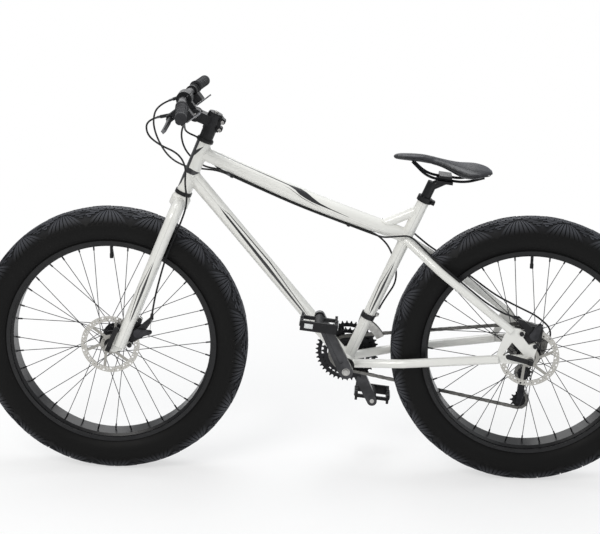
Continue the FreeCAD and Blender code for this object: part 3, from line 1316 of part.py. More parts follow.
def chain_links():
    """One inner link with its rollers and one outer link with its pins."""
    inner_low = size.chain_inner_width / 2
    outer_low = inner_low + size.chain_plate_thickness + size.chain_gap
    outer_high = outer_low + size.chain_plate_thickness
    inner = [link_plate(size.chain_plate_thickness, low)
             for low in (inner_low, -inner_low - size.chain_plate_thickness)]
    outer = [link_plate(size.chain_plate_thickness, low) for low in (outer_low, -outer_high)]
    for along in (ORIGIN, X_AXIS * size.chain_pitch):
        inner.append(Part.makeCylinder(size.roller_diameter / 2, 2 * inner_low, along - Y_AXIS * inner_low,
                                       Y_AXIS))
        outer.append(Part.makeCylinder(size.pin_diameter / 2, 2 * outer_high, along - Y_AXIS * outer_high,
                                       Y_AXIS))
    inner_link = inner[0].multiFuse(inner[1:])
    for along in (ORIGIN, X_AXIS * size.chain_pitch):
        bore = Part.makeCylinder(size.pin_diameter / 2 + size.chain_gap, 2 * outer_high,
                                 along - Y_AXIS * outer_high, Y_AXIS)
        inner_link = inner_link.cut(bore)
    return inner_link.removeSplitter(), outer[0].multiFuse(outer[1:]).removeSplitter()


def make_chain(route, links):
    inner, outer = chain_links()
    placed = []
    for index in range(links):
        start, end = route.place(index), route.place((index + 1) % links)
        middle = (start + end) * 0.5
        along = at_side(end - start, 0)
        turn = Rotation(X_AXIS, along)
        link = (outer if index % 2 else inner).copy()
        link.Placement = Placement(middle - along.normalize() * (size.chain_pitch / 2), turn)
        placed.append(link)
    node("chain", solid(Part.makeCompound(placed)))


RING_BORE_SHARE = 0.88
SPIDER_ARMS = 4


def ring_offset(index):
    return size.inner_ring_offset + size.ring_pitch * index


def side_rod(radius, place, low, high):
    """A rod that lies across the bicycle between two distances to the rider's left."""
    return Part.makeCylinder(radius, high - low, at_side(place, low), Y_AXIS)


def bolt_places(radius, phase=0):
    return [polar(bottom_bracket, radius, phase + FULL_TURN * index / SPIDER_ARMS)
            for index in range(SPIDER_ARMS)]


def spider_faces():
    gap = size.side_gap / 2
    return -ring_offset(2) + size.ring_thickness / 2 + gap, -ring_offset(1) - size.ring_thickness / 2 - gap


RING_SLOT_TURN = 28


def ring_sector(inside, outside, first, last, low, thickness):
    """A flat piece between two circles about the cranks' axle and between two angles."""
    angles = (first, (first + last) / 2, last)
    near, far = ([at_side(polar(bottom_bracket, radius, angle), low) for angle in angles]
                 for radius in (inside, outside))
    edges = [Part.Arc(*near).toShape(), Part.LineSegment(near[2], far[2]).toShape(),
             Part.Arc(*far[::-1]).toShape(),
             Part.LineSegment(far[0], near[0]).toShape()]
    return Part.Face(Part.Wire(edges)).extrude(Y_AXIS * thickness)


def slotted(ring, index, teeth, bore):
    """A ring opened between the spider's arms, down to a rim that carries the teeth."""
    step = FULL_TURN / SPIDER_ARMS
    low = -ring_offset(index) - size.ring_thickness
    outside = pitch_radius(teeth) - size.ring_rim_width
    for arm in range(SPIDER_ARMS):
        middle = size.crank_angle + step * (arm + 1 / 2)
        ring = ring.cut(ring_sector(bore - size.cut_overrun, outside, middle - RING_SLOT_TURN,
                                    middle + RING_SLOT_TURN,
                                    low, size.ring_thickness * 2))
    return ring


BOLT_HEAD_SHARE = 0.7


def make_chainrings(route):
    """Three rings: the two larger ones share the spider's bolts, the smallest stands on posts inside them."""
    half = size.ring_thickness / 2
    high = spider_faces()[1]
    hole = size.ring_bolt_diameter / 2 + size.fit_clearance
    rings = []
    for index, teeth in enumerate((size.inner_ring_teeth, size.middle_ring_teeth, size.outer_ring_teeth)):
        bore = pitch_radius(teeth) - size.ring_rim_depth
        if index:
            bore = size.spider_bolt_circle * RING_BORE_SHARE
        ring = toothed_disc(teeth, size.ring_thickness, bore, route.phase(0))
        ring.Placement = Placement(at_side(bottom_bracket, -ring_offset(index) - half), Rotation())
        rings.append(slotted(ring, index, teeth, bore) if index else ring)
    for place in bolt_places(size.post_bolt_circle, size.crank_angle):
        post = side_rod(size.ring_bolt_diameter / 2, place, high, -ring_offset(0) + half)
        rings[0] = rings[0].fuse(post)
    for place in bolt_places(size.spider_bolt_circle, size.crank_angle):
        for index in (1, 2):
            rings[index] = rings[index].cut(side_rod(hole, place, -ring_offset(3), -ring_offset(0)))
        shank = side_rod(size.ring_bolt_diameter / 2, place, -ring_offset(2) - half, -ring_offset(1) + half)
        head_piece = side_rod(size.ring_bolt_diameter * BOLT_HEAD_SHARE, place, -ring_offset(2) - half * 2,
                              -ring_offset(2) - half)
        rings.append(shank.fuse(head_piece))
    node("chainrings", solid(Part.makeCompound(rings)))


def crank_tip(side):
    angle = size.crank_angle if side > 0 else size.crank_angle + FULL_TURN / 2
    return polar(bottom_bracket, size.crank_length, angle)


CRANK_GROOVE_SHARES = (0.2, 0.82)
CRANK_GROOVE_WIDTH_SHARE = 0.45


def crank_arm(side):
    """A tapered arm with a shallow groove along its outer face."""
    inner = side * size.crank_inner_offset
    low = min(inner, inner + side * size.crank_thickness)
    start, tip = at_side(bottom_bracket, low), at_side(crank_tip(side), low)
    arm = hull_plate(start, tip, size.crank_boss_radius, size.crank_tip_radius, size.crank_thickness)
    groove_low = low + size.crank_thickness - size.crank_groove_depth if side > 0 else low
    first, second = (at_side(lerp(start, tip, share), groove_low) for share in CRANK_GROOVE_SHARES)
    width = size.crank_tip_radius * CRANK_GROOVE_WIDTH_SHARE
    arm = arm.cut(hull_plate(first, second, width, width, size.crank_groove_depth))
    return arm


COLLAR_SHARE = 0.75


def make_cranks():
    spindle_hole = size.spindle_diameter / 2 + size.fit_clearance
    axle_hole = size.pedal_axle_diameter / 2 + size.fit_clearance
    reach = size.crank_inner_offset + size.crank_thickness
    low, high = spider_faces()
    for name, side in SIDES.items():
        arm = crank_arm(side)
        if side < 0:
            boss = side_rod(size.crank_boss_radius, bottom_bracket, -size.crank_inner_offset, high)
            spider = [hull_plate(at_side(bottom_bracket, low), at_side(place, low), size.crank_boss_radius,
                                 size.ring_bolt_diameter, high - low)
                      for place in bolt_places(size.spider_bolt_circle, size.crank_angle)]
            arm = arm.fuse([boss] + spider)
            for place in bolt_places(size.spider_bolt_circle, size.crank_angle):
                arm = arm.cut(side_rod(size.ring_bolt_diameter / 2 + size.fit_clearance, place, low, high))
        arm = arm.cut(side_rod(spindle_hole, bottom_bracket, -reach, reach))
        arm = arm.cut(side_rod(axle_hole, crank_tip(side), -reach, reach))
        share_node("crank_arms", solid(arm.removeSplitter()))

    bolt_end = reach - size.crank_groove_depth
    spindle = side_rod(size.spindle_diameter / 2, bottom_bracket, -bolt_end, bolt_end)
    bolts = side_rod(size.crank_bolt_diameter / 2, bottom_bracket, -reach - size.crank_groove_depth,
                     reach + size.crank_groove_depth)
    pieces = [spindle.fuse(bolts).removeSplitter()]
    for side in SIDES.values():
        inner, outer = size.crank_inner_offset, reach + size.pedal_collar + size.pedal_width - size.pedal_wall
        span = (inner, outer) if side > 0 else (-outer, -inner)
        collar_end = reach + size.pedal_collar - size.side_gap
        collar = (reach, collar_end) if side > 0 else (-collar_end, -reach)
        rod_piece = side_rod(size.pedal_axle_diameter / 2, crank_tip(side), *span)
        pieces.append(rod_piece.fuse(side_rod(size.pedal_axle_diameter * COLLAR_SHARE, crank_tip(side),
                                              *collar)).removeSplitter())
    node("crank_axles", solid(Part.makeCompound(pieces)))

    press = size.shell_bore / 2
    cups = []
    for side in SIDES.values():
        outer = side * (size.shell_width / 2 + size.bearing_flange)
        inner = side * (size.shell_width / 2 - size.cup_insert * 2)
        face = side * size.shell_width / 2
        flange = side_rod(size.shell_diameter / 2, bottom_bracket, min(outer, face), max(outer, face))
        sleeve = side_rod(press, bottom_bracket, min(inner, face), max(inner, face))
        cups.append(flange.fuse(sleeve).cut(side_rod(spindle_hole, bottom_bracket, -reach, reach)))
    node("bottom_bracket_cups", solid(Part.makeCompound(cups)))


PEDAL_REFLECTOR_SHARES = (0.62, 0.5)


def pedal_notches(centre, tilt):
    """The gaps between the teeth along the edges of a pedal's front and back plates."""
    count = int(size.pedal_teeth)
    reach = (size.pedal_length - size.pedal_wall) / 2
    rise = (size.pedal_height - size.pedal_tooth_depth) / 2
    gaps = []
    for index in range(1, count):
        along = size.pedal_width * (index / count - 1 / 2)
        for way in (-1, 1):
            for up in (-1, 1):
                place = centre + tilt.multVec(Vector(way * reach, along, up * rise))
                gaps.append(block("pedal_wall", "pedal_tooth_gap", "pedal_tooth_depth", place, tilt))
    return group(*gaps)


def make_pedals():
    """Toothed plates and end walls round an open middle, with a barrel for the axle and two reflectors."""
    for name, side in SIDES.items():
        near = size.crank_inner_offset + size.crank_thickness + size.pedal_collar
        low = near if side > 0 else -near - size.pedal_width
        centre = at_side(crank_tip(side), low + size.pedal_width / 2)
        tilt = flat_turn(size.pedal_tilt)
        shell = block("pedal_length", "pedal_width", "pedal_height", centre, tilt)
        hollow = block("pedal_length - pedal_wall * 2", "pedal_width - pedal_wall * 2", "pedal_height",
                       centre, tilt)
        trims = []
        spare = (size.pedal_height - size.pedal_rail_height) / 2
        for up in (-1, 1):
            place = tilt.multVec(Vector(0, side * (size.pedal_wall - size.pedal_width) / 2,
                                        up * (size.pedal_height - spare) / 2))
            trims.append(block("pedal_length - pedal_wall * 2", "pedal_wall", spare, centre + place, tilt))
        barrel = rod("pedal_core_diameter / 2", "pedal_width", at_side(centre, low), Y_AXIS)
        closed = size.pedal_wall - size.side_gap
        bore_low = low - size.cut_overrun if side > 0 else low + closed
        bore = rod("pedal_axle_diameter / 2 + fit_clearance", size.pedal_width - closed + size.cut_overrun,
                   at_side(centre, bore_low), Y_AXIS)
        cage = cut(shell, hollow, *trims, pedal_notches(centre, tilt))
        reflectors = []
        for way in (-1, 1):
            place = centre + tilt.multVec(Vector(way * (size.pedal_length + size.reflector_thickness) / 2,
                                                 0, 0))
            width, height = (f"{of} * {share}" for of,
                             share in zip(("pedal_width", "pedal_height"), PEDAL_REFLECTOR_SHARES))
            reflectors.append(block("reflector_thickness", width, height, place, tilt))
        node(f"pedal_{name}", group(cut(fuse(cage, barrel), bore), *reflectors))


def make_cassette(route):
    """Seven sprockets on one ribbed body, free to turn on the rear axle."""
    count = int(size.sprocket_count)
    low = -size.sprocket_offset - size.sprocket_pitch * (count - 1) - size.ring_thickness
    high = -size.sprocket_offset + size.sprocket_pitch
    body = side_rod(size.cassette_body_radius, ORIGIN, low, high)
    for index in range(count):
        teeth = size.largest_sprocket_teeth
        if index:
            teeth = size.second_sprocket_teeth - size.sprocket_step * (index - 1)
        wheel = toothed_disc(teeth, size.ring_thickness, size.cassette_body_radius * RING_BORE_SHARE,
                             route.phase(1))
        middle = -size.sprocket_offset - size.sprocket_pitch * index - size.ring_thickness / 2
        wheel.Placement = Placement(Vector(0, middle, 0), Rotation())
        body = body.fuse(wheel)
    cone_start = -size.rear_spacing / 2 + size.flange_thickness * 2 + size.side_gap
    body = body.cut(side_rod(size.axle_diameter / 2 + size.fit_clearance, ORIGIN, low, high))
    body = body.cut(side_rod(size.cone_diameter / 2 + size.side_gap, ORIGIN, low, cone_start))
    node("cassette", solid(body.removeSplitter()), Placement(rear_axle, Rotation()))


DERAILLEUR_ELBOW_SHARE = 0.55
LINK_SHARE = 0.7


def make_rear_derailleur(route):
    """The derailleur hung under the right dropout: its linkage, and the sprung cage with two pulleys."""
    guide, tension = route.wheels[2][0], route.wheels[3][0]
    plane = -size.sprocket_offset
    bolt = rear_axle + Vector(size.hanger_drop * HANGER_HOLE_SHARES[0], 0,
                              size.hanger_drop * HANGER_HOLE_SHARES[1])
    plate_out = -size.rear_spacing / 2 - size.dropout_thickness
    knuckle_out = plate_out - size.knuckle_length
    shank = side_rod(size.hanger_bolt_diameter / 2, bolt, plate_out, plate_out + size.dropout_thickness)
    top = side_rod(size.knuckle_radius, bolt, knuckle_out, plate_out)
    cage_out = plane - size.cage_half_gap - size.cage_thickness - size.side_gap
    lower = side_rod(size.knuckle_radius, guide, cage_out - size.knuckle_length, cage_out)
    elbow = at_side(lerp(bolt, guide, DERAILLEUR_ELBOW_SHARE), (knuckle_out + plate_out) / 2)
    start = at_side(bolt, (knuckle_out + plate_out) / 2)
    end = at_side(guide, cage_out - size.knuckle_length / 2)
    slim = size.knuckle_radius * LINK_SHARE
    links = [Part.makeCylinder(slim, (elbow - start).Length, start, elbow - start),
             Part.makeSphere(slim, elbow), Part.makeCylinder(slim, (end - elbow).Length, elbow, end - elbow)]
    body = shank.fuse([top, lower] + links)
    pulley_bolt = size.pulley_bolt_diameter / 2
    body = body.cut(side_rod(pulley_bolt + size.fit_clearance, guide, cage_out - size.knuckle_length,
                             cage_out))
    node("rear_derailleur", solid(body.removeSplitter()))

    plates = [hull_plate(at_side(guide, low), at_side(tension, low), size.cage_plate_radius,
                         size.cage_plate_radius, size.cage_thickness)
              for low in (plane + size.cage_half_gap, plane - size.cage_half_gap - size.cage_thickness)]
    span = size.cage_half_gap + size.cage_thickness
    axles = [side_rod(pulley_bolt, guide, cage_out - size.knuckle_length / 2, plane + span),
             side_rod(pulley_bolt, tension, plane - span, plane + span)]
    node("derailleur_cage", solid(plates[0].fuse(plates[1:] + axles).removeSplitter()))
    for index, name in ((2, "guide_pulley"), (3, "tension_pulley")):
        wheel = toothed_disc(size.pulley_teeth, size.pulley_thickness, pulley_bolt + size.fit_clearance,
                             route.phase(index))
        wheel.Placement = Placement(Vector(0, -size.pulley_thickness / 2, 0), Rotation())
        half = size.cage_half_gap - size.side_gap
        core = side_rod(size.cage_plate_radius, ORIGIN, -half,
                        half).cut(side_rod(pulley_bolt + size.fit_clearance, ORIGIN, -half, half))
        node(name, solid(wheel.fuse(core).removeSplitter()),
             Placement(at_side(route.wheels[index][0], plane), Rotation()))


BAND_GRIP_SHARE = 0.7
FRONT_CAGE_START = 108
FRONT_CAGE_MIDDLE = 122
FRONT_CAGE_END = 152
TAIL_INSET_SHARE = 0.08
EAR_LENGTH_SHARE = 0.45
EAR_ROOT_SHARE = 0.8
EAR_ARM_SHARE = 0.8
HINGE_PIN_SHARE = 0.5
FRONT_CAGE_SPREAD_SHARES = (1.2, 1.3)


def make_front_derailleur():
    """A band round the seat tube with a bracket, and the swinging cage that pushes the chain."""
    band = turned(ring_loop("seat_tube_diameter / 2 + fit_clearance",
                            "seat_tube_diameter / 2 + collar_wall * 0.8",
                            "derailleur_band_height - collar_height / 2",
                            "derailleur_band_height + collar_height / 2"))
    inner_radius = size.seat_tube_diameter / 2 + size.collar_wall * BAND_GRIP_SHARE
    start = Vector(0, -inner_radius, size.derailleur_band_height)
    end = Vector(-size.derailleur_hinge_back, -size.derailleur_hinge_side + size.hinge_radius,
                 size.derailleur_band_height)
    bracket = rod_between("hinge_radius", start, end)
    barrel_half = size.hinge_length / 2
    hinge = Vector(-size.derailleur_hinge_back, -size.derailleur_hinge_side, size.derailleur_band_height)
    barrel = rod("hinge_radius", size.hinge_length, hinge - X_AXIS * barrel_half, X_AXIS)
    pin = rod(f"hinge_radius * {HINGE_PIN_SHARE}", "hinge_length * 2", hinge - X_AXIS * size.hinge_length,
              X_AXIS)
    node("front_derailleur", fuse(band, bracket, barrel, pin), seat_frame)

    inner = -size.inner_ring_offset + size.cage_half_gap * FRONT_CAGE_SPREAD_SHARES[0]
    outer = -size.inner_ring_offset - size.cage_half_gap * FRONT_CAGE_SPREAD_SHARES[1]
    pieces = [curved_plate(low) for low in (inner, outer - size.cage_thickness)]
    mid_radius = pitch_radius(size.outer_ring_teeth) + size.front_cage_gap + size.front_cage_height / 2
    tail = polar(bottom_bracket, mid_radius - size.front_cage_height * 0.32, FRONT_CAGE_END)
    pieces.append(side_rod(size.cage_thickness,
                           lerp(tail, polar(bottom_bracket, mid_radius, FRONT_CAGE_START), TAIL_INSET_SHARE),
                           outer, inner))
    crest = polar(bottom_bracket, mid_radius + size.front_cage_height * 0.42, FRONT_CAGE_MIDDLE)
    pieces.append(side_rod(size.cage_thickness * 1.3, crest, outer, inner))
    hinge_world = seat_frame.multVec(hinge)
    hole = Part.makeCylinder(size.hinge_radius * HINGE_PIN_SHARE + size.fit_clearance, size.hinge_length * 4,
                             hinge_world - seat_forward * (size.hinge_length * 2), seat_forward)
    for way in (-1, 1):
        ear = hinge_world + seat_forward * (way * (size.hinge_length / 2 + size.side_gap))
        ear_length = size.hinge_length * EAR_LENGTH_SHARE
        knuckle = Part.makeCylinder(size.hinge_radius, ear_length, ear, seat_forward * way)
        root = ear + seat_forward * (way * ear_length * EAR_ROOT_SHARE)
        foot = at_side(crest, inner + size.cage_thickness / 2)
        arm = Part.makeCylinder(size.cage_thickness * EAR_ARM_SHARE, (foot - root).Length, root, foot - root)
        pieces.append(knuckle.fuse(arm).cut(hole))
    cage = pieces[0]
    for piece in pieces[1:]:
        cage = cage.fuse(piece)
    node("front_derailleur_cage", solid(cage))


def curved_plate(low):
    """One side of the front cage: a band round the rings' centre."""
    inside = pitch_radius(size.outer_ring_teeth) + size.front_cage_gap
    return ring_sector(inside, inside + size.front_cage_height, FRONT_CAGE_START, FRONT_CAGE_END, low,
                       size.cage_thickness)


def make_drive_train():
    route, links = fitted_chain_route()
    make_chain(route, links)
    make_chainrings(route)
    make_cranks()
    make_pedals()
    make_cassette(route)
    make_rear_derailleur(route)
    make_front_derailleur()


# Seat
def make_seat():
    top = size.seat_tube_length
    outer = "post_diameter / 2"
    inner = "post_diameter / 2 - post_wall"
    low, high = "seat_tube_length - post_insertion", "seat_tube_length + post_exposed"
    tube = turned([(inner, low), (outer, low), (outer, high), ("0", high), ("0", f"{high} - post_wall"),
                   (inner, f"{high} - post_wall")])
    head_start = Vector(0, 0, top + size.post_exposed - size.post_diameter / 2)
    clamp = Vector(-size.post_setback, 0, top + size.post_exposed + size.post_rise)
    tilt = seat_turn.inverted().multiply(flat_turn(size.saddle_tilt))
    drop = tilt.multVec(-Z_AXIS)
    grip_gap = size.rail_diameter / 2 + size.fit_clearance
    cradle = clamp + drop * (grip_gap + size.clamp_plate / 2)
    width = "rail_spread * 2 + rail_diameter * 2"
    neck = rod_between("post_diameter * 0.42", head_start, cradle)
    lower = block("clamp_length", width, "clamp_plate", cradle, tilt)
    upper = block("clamp_length * 0.8", width, "clamp_plate",
                  clamp - drop * (grip_gap + size.clamp_plate / 2), tilt)
    bolt_low = clamp + drop * (grip_gap + size.clamp_plate)
    bolt = rod("stem_bolt_diameter / 2", size.clamp_plate * 2, bolt_low - drop * size.clamp_plate, -drop)
    node("seatpost", fuse(tube, neck, lower, upper, bolt), seat_frame)
    make_saddle(Placement(seat_frame.multVec(clamp), flat_turn(size.saddle_tilt)))

    collar = turned(ring_loop("post_diameter / 2 + fit_clearance", "seat_tube_diameter / 2 + collar_wall",
                              "seat_tube_length",
                              "seat_tube_length + collar_height"))
    reach = size.seat_tube_diameter / 2 + size.collar_wall
    lug = block("collar_wall * 2.4", "collar_wall * 4", "collar_height * 0.8",
                Vector(-reach - size.collar_wall * 0.6, 0, top + size.collar_height / 2))
    bolt_start = Vector(-reach - size.collar_wall * 0.8, -size.collar_wall * 3, top + size.collar_height / 2)
    collar_bolt = rod("stem_bolt_diameter * 0.7", "collar_wall * 6", bolt_start, Y_AXIS)
    node("seat_collar", fuse(collar, lug, collar_bolt), seat_frame)


# Saddle stations from tail to nose: place, half width, underside and top,
# as shares of its length, width and height.
SADDLE_STATION_SHARES = (
    (-0.465, 0.14, 0.646, 0.729), (-0.43, 0.3, 0.635, 0.765), (-0.38, 0.437, 0.6, 0.825), (-0.32, 0.493,
                                                                                           0.448, 0.86),
    (-0.25, 0.5, 0.305, 0.86), (-0.17, 0.44, 0.285, 0.85), (-0.09, 0.335, 0.4, 0.87), (0, 0.235, 0.575,
                                                                                       0.925),
    (0.115, 0.169, 0.72, 1.015), (0.31, 0.141, 0.76, 1.09), (0.44, 0.127, 0.7, 1.03), (0.5, 0.1, 0.68, 0.965),
    (0.535, 0.056, 0.72, 0.84))
RAIL_SHARES = ((-0.36, 1.9, 0.5), (-0.19, 1, 0), (0.17, 1, 0), (0.34, 0.5, 0.712))
SADDLE_POINTS = 16
SADDLE_ROUND = 0.72
SADDLE_TUCK = 0.3


def make_saddle(frame):
    """The padded saddle and its two rails, in a frame on the seatpost clamp whose X follows the rails."""
    sections = [saddle_section(*shares) for shares in SADDLE_STATION_SHARES]
    node("saddle", solid(Part.makeLoft(sections, True)), frame)
    rails = []
    for side in SIDES.values():
        points = [Vector(size.saddle_length * along, side * size.rail_spread * out, size.saddle_height * up)
                  for along, out, up in RAIL_SHARES]
        rails.append(swept_rod(points, size.rail_diameter / 2))
    node("saddle_rails", solid(Part.makeCompound(rails)), frame)


def saddle_section(along, half_share, low_share, high_share):
    """A closed section with a crown, rounded shoulders and sides drawn in below."""
    middle = size.saddle_height * (low_share + high_share) / 2
    half_height = size.saddle_height * (high_share - low_share) / 2
    points = []
    for index in range(SADDLE_POINTS):
        angle = 2 * math.pi * (index + 0.5) / SADDLE_POINTS
        cosine, sine = math.cos(angle), math.sin(angle)
        wide = math.copysign(abs(cosine) ** SADDLE_ROUND, cosine) * (1 - SADDLE_TUCK * max(0, -sine))
        tall = math.copysign(abs(sine) ** SADDLE_ROUND, sine)
        points.append(Vector(size.saddle_length * along, size.saddle_width * half_share * wide,
                             middle + half_height * tall))
    curve = Part.BSplineCurve()
    curve.interpolate(Points=points, PeriodicFlag=True)
    return Part.Wire(curve.toShape())


# Cables: the corners of each route, as shares of the wheelbase.
FRONT_BRAKE_SHARES = (
    (0.4000, 0.0850, 0.8513), (0.3717, 0.0761, 0.8248), (0.3292, 0.0637, 0.8035),
    (0.3133, 0.0496, 0.7681), (0.3186, 0.0372, 0.7257), (0.3124, 0.0327, 0.6796),
    (0.3292, 0.0372, 0.6283), (0.3575, 0.0531, 0.5664), (0.3752, 0.0646, 0.5062))
REAR_BRAKE_LOOP_SHARES = (
    (0.4088, -0.0814, 0.8496), (0.3956, -0.0690, 0.8071), (0.3646, -0.0442, 0.7681),
    (0.3204, -0.0274, 0.7504), (0.2876, -0.0239, 0.7487))
LEFT_SHIFT_LOOP_SHARES = (
    (0.3204, -0.0088, 0.8389), (0.2938, -0.0301, 0.8230), (0.2655, -0.0327, 0.8035),
    (0.2619, -0.0283, 0.7646))
RIGHT_SHIFT_LOOP_SHARES = (
    (0.3363, -0.0354, 0.8363), (0.3292, -0.0336, 0.7965), (0.3053, -0.0354, 0.7664),
    (0.2761, -0.0336, 0.7504))
REAR_BRAKE_TAIL_SHARES = (
    (-0.1469, 0.0177, 0.6018), (-0.1770, 0.0239, 0.6071), (-0.2106, 0.0274, 0.6106),
    (-0.2593, 0.0403, 0.5673), (-0.2929, 0.0602, 0.5416), (-0.3611, 0.0681, 0.4876),
    (-0.3858, 0.0708, 0.4681))
LEFT_SHIFT_TAIL_SHARES = (
    (-0.1327, -0.0106, 0.6018), (-0.1593, -0.0186, 0.5752), (-0.1805, -0.0186, 0.5274),
    (-0.1814, -0.0159, 0.4832), (-0.1575, -0.0212, 0.4425), (-0.1416, -0.0301, 0.4106))
RIGHT_SHIFT_TAIL_SHARES = (
    (-0.1469, -0.0142, 0.6035), (-0.1770, -0.0239, 0.6088), (-0.2106, -0.0274, 0.6106),
    (-0.2593, -0.0403, 0.5673), (-0.2929, -0.0602, 0.5416), (-0.3611, -0.0681, 0.4876),
    (-0.4248, -0.0752, 0.4389), (-0.4779, -0.0867, 0.4088), (-0.5310, -0.0920, 0.3823),
    (-0.5664, -0.0929, 0.3504), (-0.5628, -0.0912, 0.3115), (-0.5248, -0.0885, 0.3009))
LAST_CLIP_SHARE = 0.76
RUN_SHARES = (0.163, 0.29, 0.5, 0.8)


def route_points(shares):
    return [Vector(*triple) * size.wheelbase for triple in shares]


def top_tube_height(share):
    """The top tube's height at a share of its length."""
    plain = size.top_tube_head_diameter * (1 - share) + size.top_tube_seat_height * share
    stations = zip(TOP_TUBE_STATION_SHARES, TOP_TUBE_STATION_SHARES[1:], TOP_TUBE_SWELL_SHARES,
                   TOP_TUBE_SWELL_SHARES[1:])
    for low, high, swell_low, swell_high in stations:
        if share <= high:
            swell = swell_low + (swell_high - swell_low) * (share - low) / (high - low)
            break
    return plain * (1 - swell) + size.top_tube_mid_diameter * swell


def top_tube_turn():
    along = top_tube_point(1) - top_tube_point(0)
    return Rotation(along, Y_AXIS, along.cross(Y_AXIS), "XYZ")


def under_top_tube(share, slot):
    """A housing's place under the top tube, in one of three slots side by side."""
    drop = top_tube_height(share) / 2 + size.clip_wall + size.housing_diameter / 2
    down = top_tube_turn().multVec(Z_AXIS)
    if down.z > 0:
        down = -down
    return top_tube_point(share) + down * drop + Y_AXIS * (slot * size.cable_pitch)


def housing(label, points):
    """A cable housing along its route; its tightest bend is printed."""
    wire = routed_wire(points)
    radii = [edge.Curve.Radius for edge in wire.Edges if hasattr(edge.Curve, "Radius")]
    print(f"{label}: {wire.Length:.0f} long, tightest bend {min(radii):.1f}")
    return swept_rod(points, size.housing_diameter / 2)


def make_cables():
    """Housings along their real routes: loops from the bar to the first clip, then runs along the frame."""
    front = lead_out(1, barrel_ends(1), size.brake_lead) + route_points(FRONT_BRAKE_SHARES)
    node("front_brake_cable", solid(housing("Front brake", front + stop_lead("front", front_actuator()))))

    rear = lead_out(-1, barrel_ends(-1), size.brake_lead) + route_points(REAR_BRAKE_LOOP_SHARES)
    left = lead_out(1, pod_barrel_ends(1), size.shift_lead) + route_points(LEFT_SHIFT_LOOP_SHARES)
    right = lead_out(-1, pod_barrel_ends(-1), size.shift_lead / 2) + route_points(RIGHT_SHIFT_LOOP_SHARES)
    loops = [housing("Rear brake loop", rear + clip_lead(1)), housing("Left shift loop", left + clip_lead(0)),
             housing("Right shift loop", right + clip_lead(-1))]
    node("cable_loops", solid(Part.makeCompound(loops)))

    runs = []
    for label, slot, shares, end in (("Rear brake run", 1, REAR_BRAKE_TAIL_SHARES,
                                      stop_lead("rear", rear_actuator())),
                                     ("Left shift run", 0, LEFT_SHIFT_TAIL_SHARES, []),
                                     ("Right shift run", -1, RIGHT_SHIFT_TAIL_SHARES, [])):
        start = [under_top_tube(share, slot) for share in RUN_SHARES]
        runs.append(housing(label, start + route_points(shares) + end))
    tube = top_tube_loft("0")
    doc.recompute()
    runs.append(cable_clip(*RUN_SHARES[:2], 0, tube.Shape))
    runs.append(cable_clip(*RUN_SHARES[2:], LAST_CLIP_SHARE, tube.Shape))
    node("frame_cables", solid(Part.makeCompound(runs)))


def lead_out(side, ends, length):
    """The end of a barrel adjuster, and a point straight ahead of it."""
    frame = control_frame(side)
    start, end = (frame.multVec(point) for point in ends)
    return [end, end + (end - start).normalize() * length]


def stop_lead(name, actuator):
    """A point straight ahead of a brake's cable stop, and the housing's end in it."""
    stop = cable_stop(name, actuator)
    along = (stop - actuator_wire_end(name, actuator)).normalize()
    end = stop + along * (size.caliper_arm_length * STOP_WALL_SHARE)
    return [end + along * size.stop_lead, end]


def clip_lead(slot):
    """A point straight ahead of the first clip, and the clip itself."""
    start, ahead = (under_top_tube(share, slot) for share in RUN_SHARES[:2])
    return [start + (start - ahead).normalize() * size.clip_lead, start]


def cable_clip(low_share, high_share, portion, tube):
    """A clip that holds three housings under the top tube, at a portion of one of their straight runs."""
    first, last = under_top_tube(low_share, 0), under_top_tube(high_share, 0)
    along = (last - first).normalize()
    turn = Rotation(along, Y_AXIS, along.cross(Y_AXIS), "XYZ")
    width = 2 * size.cable_pitch + size.housing_diameter + 2 * size.clip_wall
    height = size.housing_diameter + 2 * size.clip_wall
    clip = Part.makeBox(size.clip_length, width, height, Vector(0, -width / 2, -height / 2))
    for slot in (-1, 0, 1):
        clip = clip.cut(Part.makeCylinder(size.housing_diameter / 2 + size.fit_clearance, size.clip_length,
                                          Vector(0, slot * size.cable_pitch, 0), X_AXIS))
    clip.Placement = Placement(lerp(first, last, portion), turn)
    return clip.cut(tube)


def check_and_write():
    for label, pieces in shared.items():
        node(label, group(*pieces))
    doc.recompute()
    for obj in doc.Objects:
        if "Invalid" in obj.State or "Error" in obj.State:
            raise RuntimeError(f"{obj.Label} failed: {obj.State}")
    broken = []
    for piece in nodes:
        if piece.Shape.isNull() or not piece.Shape.isValid() or not piece.Shape.Solids:
            broken.append(piece.Label)
    if broken:
        raise RuntimeError(f"No valid solid: {', '.join(broken)}")
    os.makedirs("parts", exist_ok=True)
    for piece in nodes:
        piece.Shape.exportStep(f"parts/{piece.Label}.step")
        print(f"{piece.Label}: {len(piece.Shape.Solids)} solids, {piece.Shape.Volume / 1000:.1f} cm3")


make_frame_tubes()
make_wheels()
make_head_bearings()
make_fork()
make_stem()
make_handlebar()
make_brakes()
make_drive_train()
make_seat()
make_cables()
check_and_write()
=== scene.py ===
"""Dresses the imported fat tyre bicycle: paint, treaded tyres, padded saddle, grips, cables and a studio."""
import cmath
import math

import bpy
from mathutils import Matrix, Vector


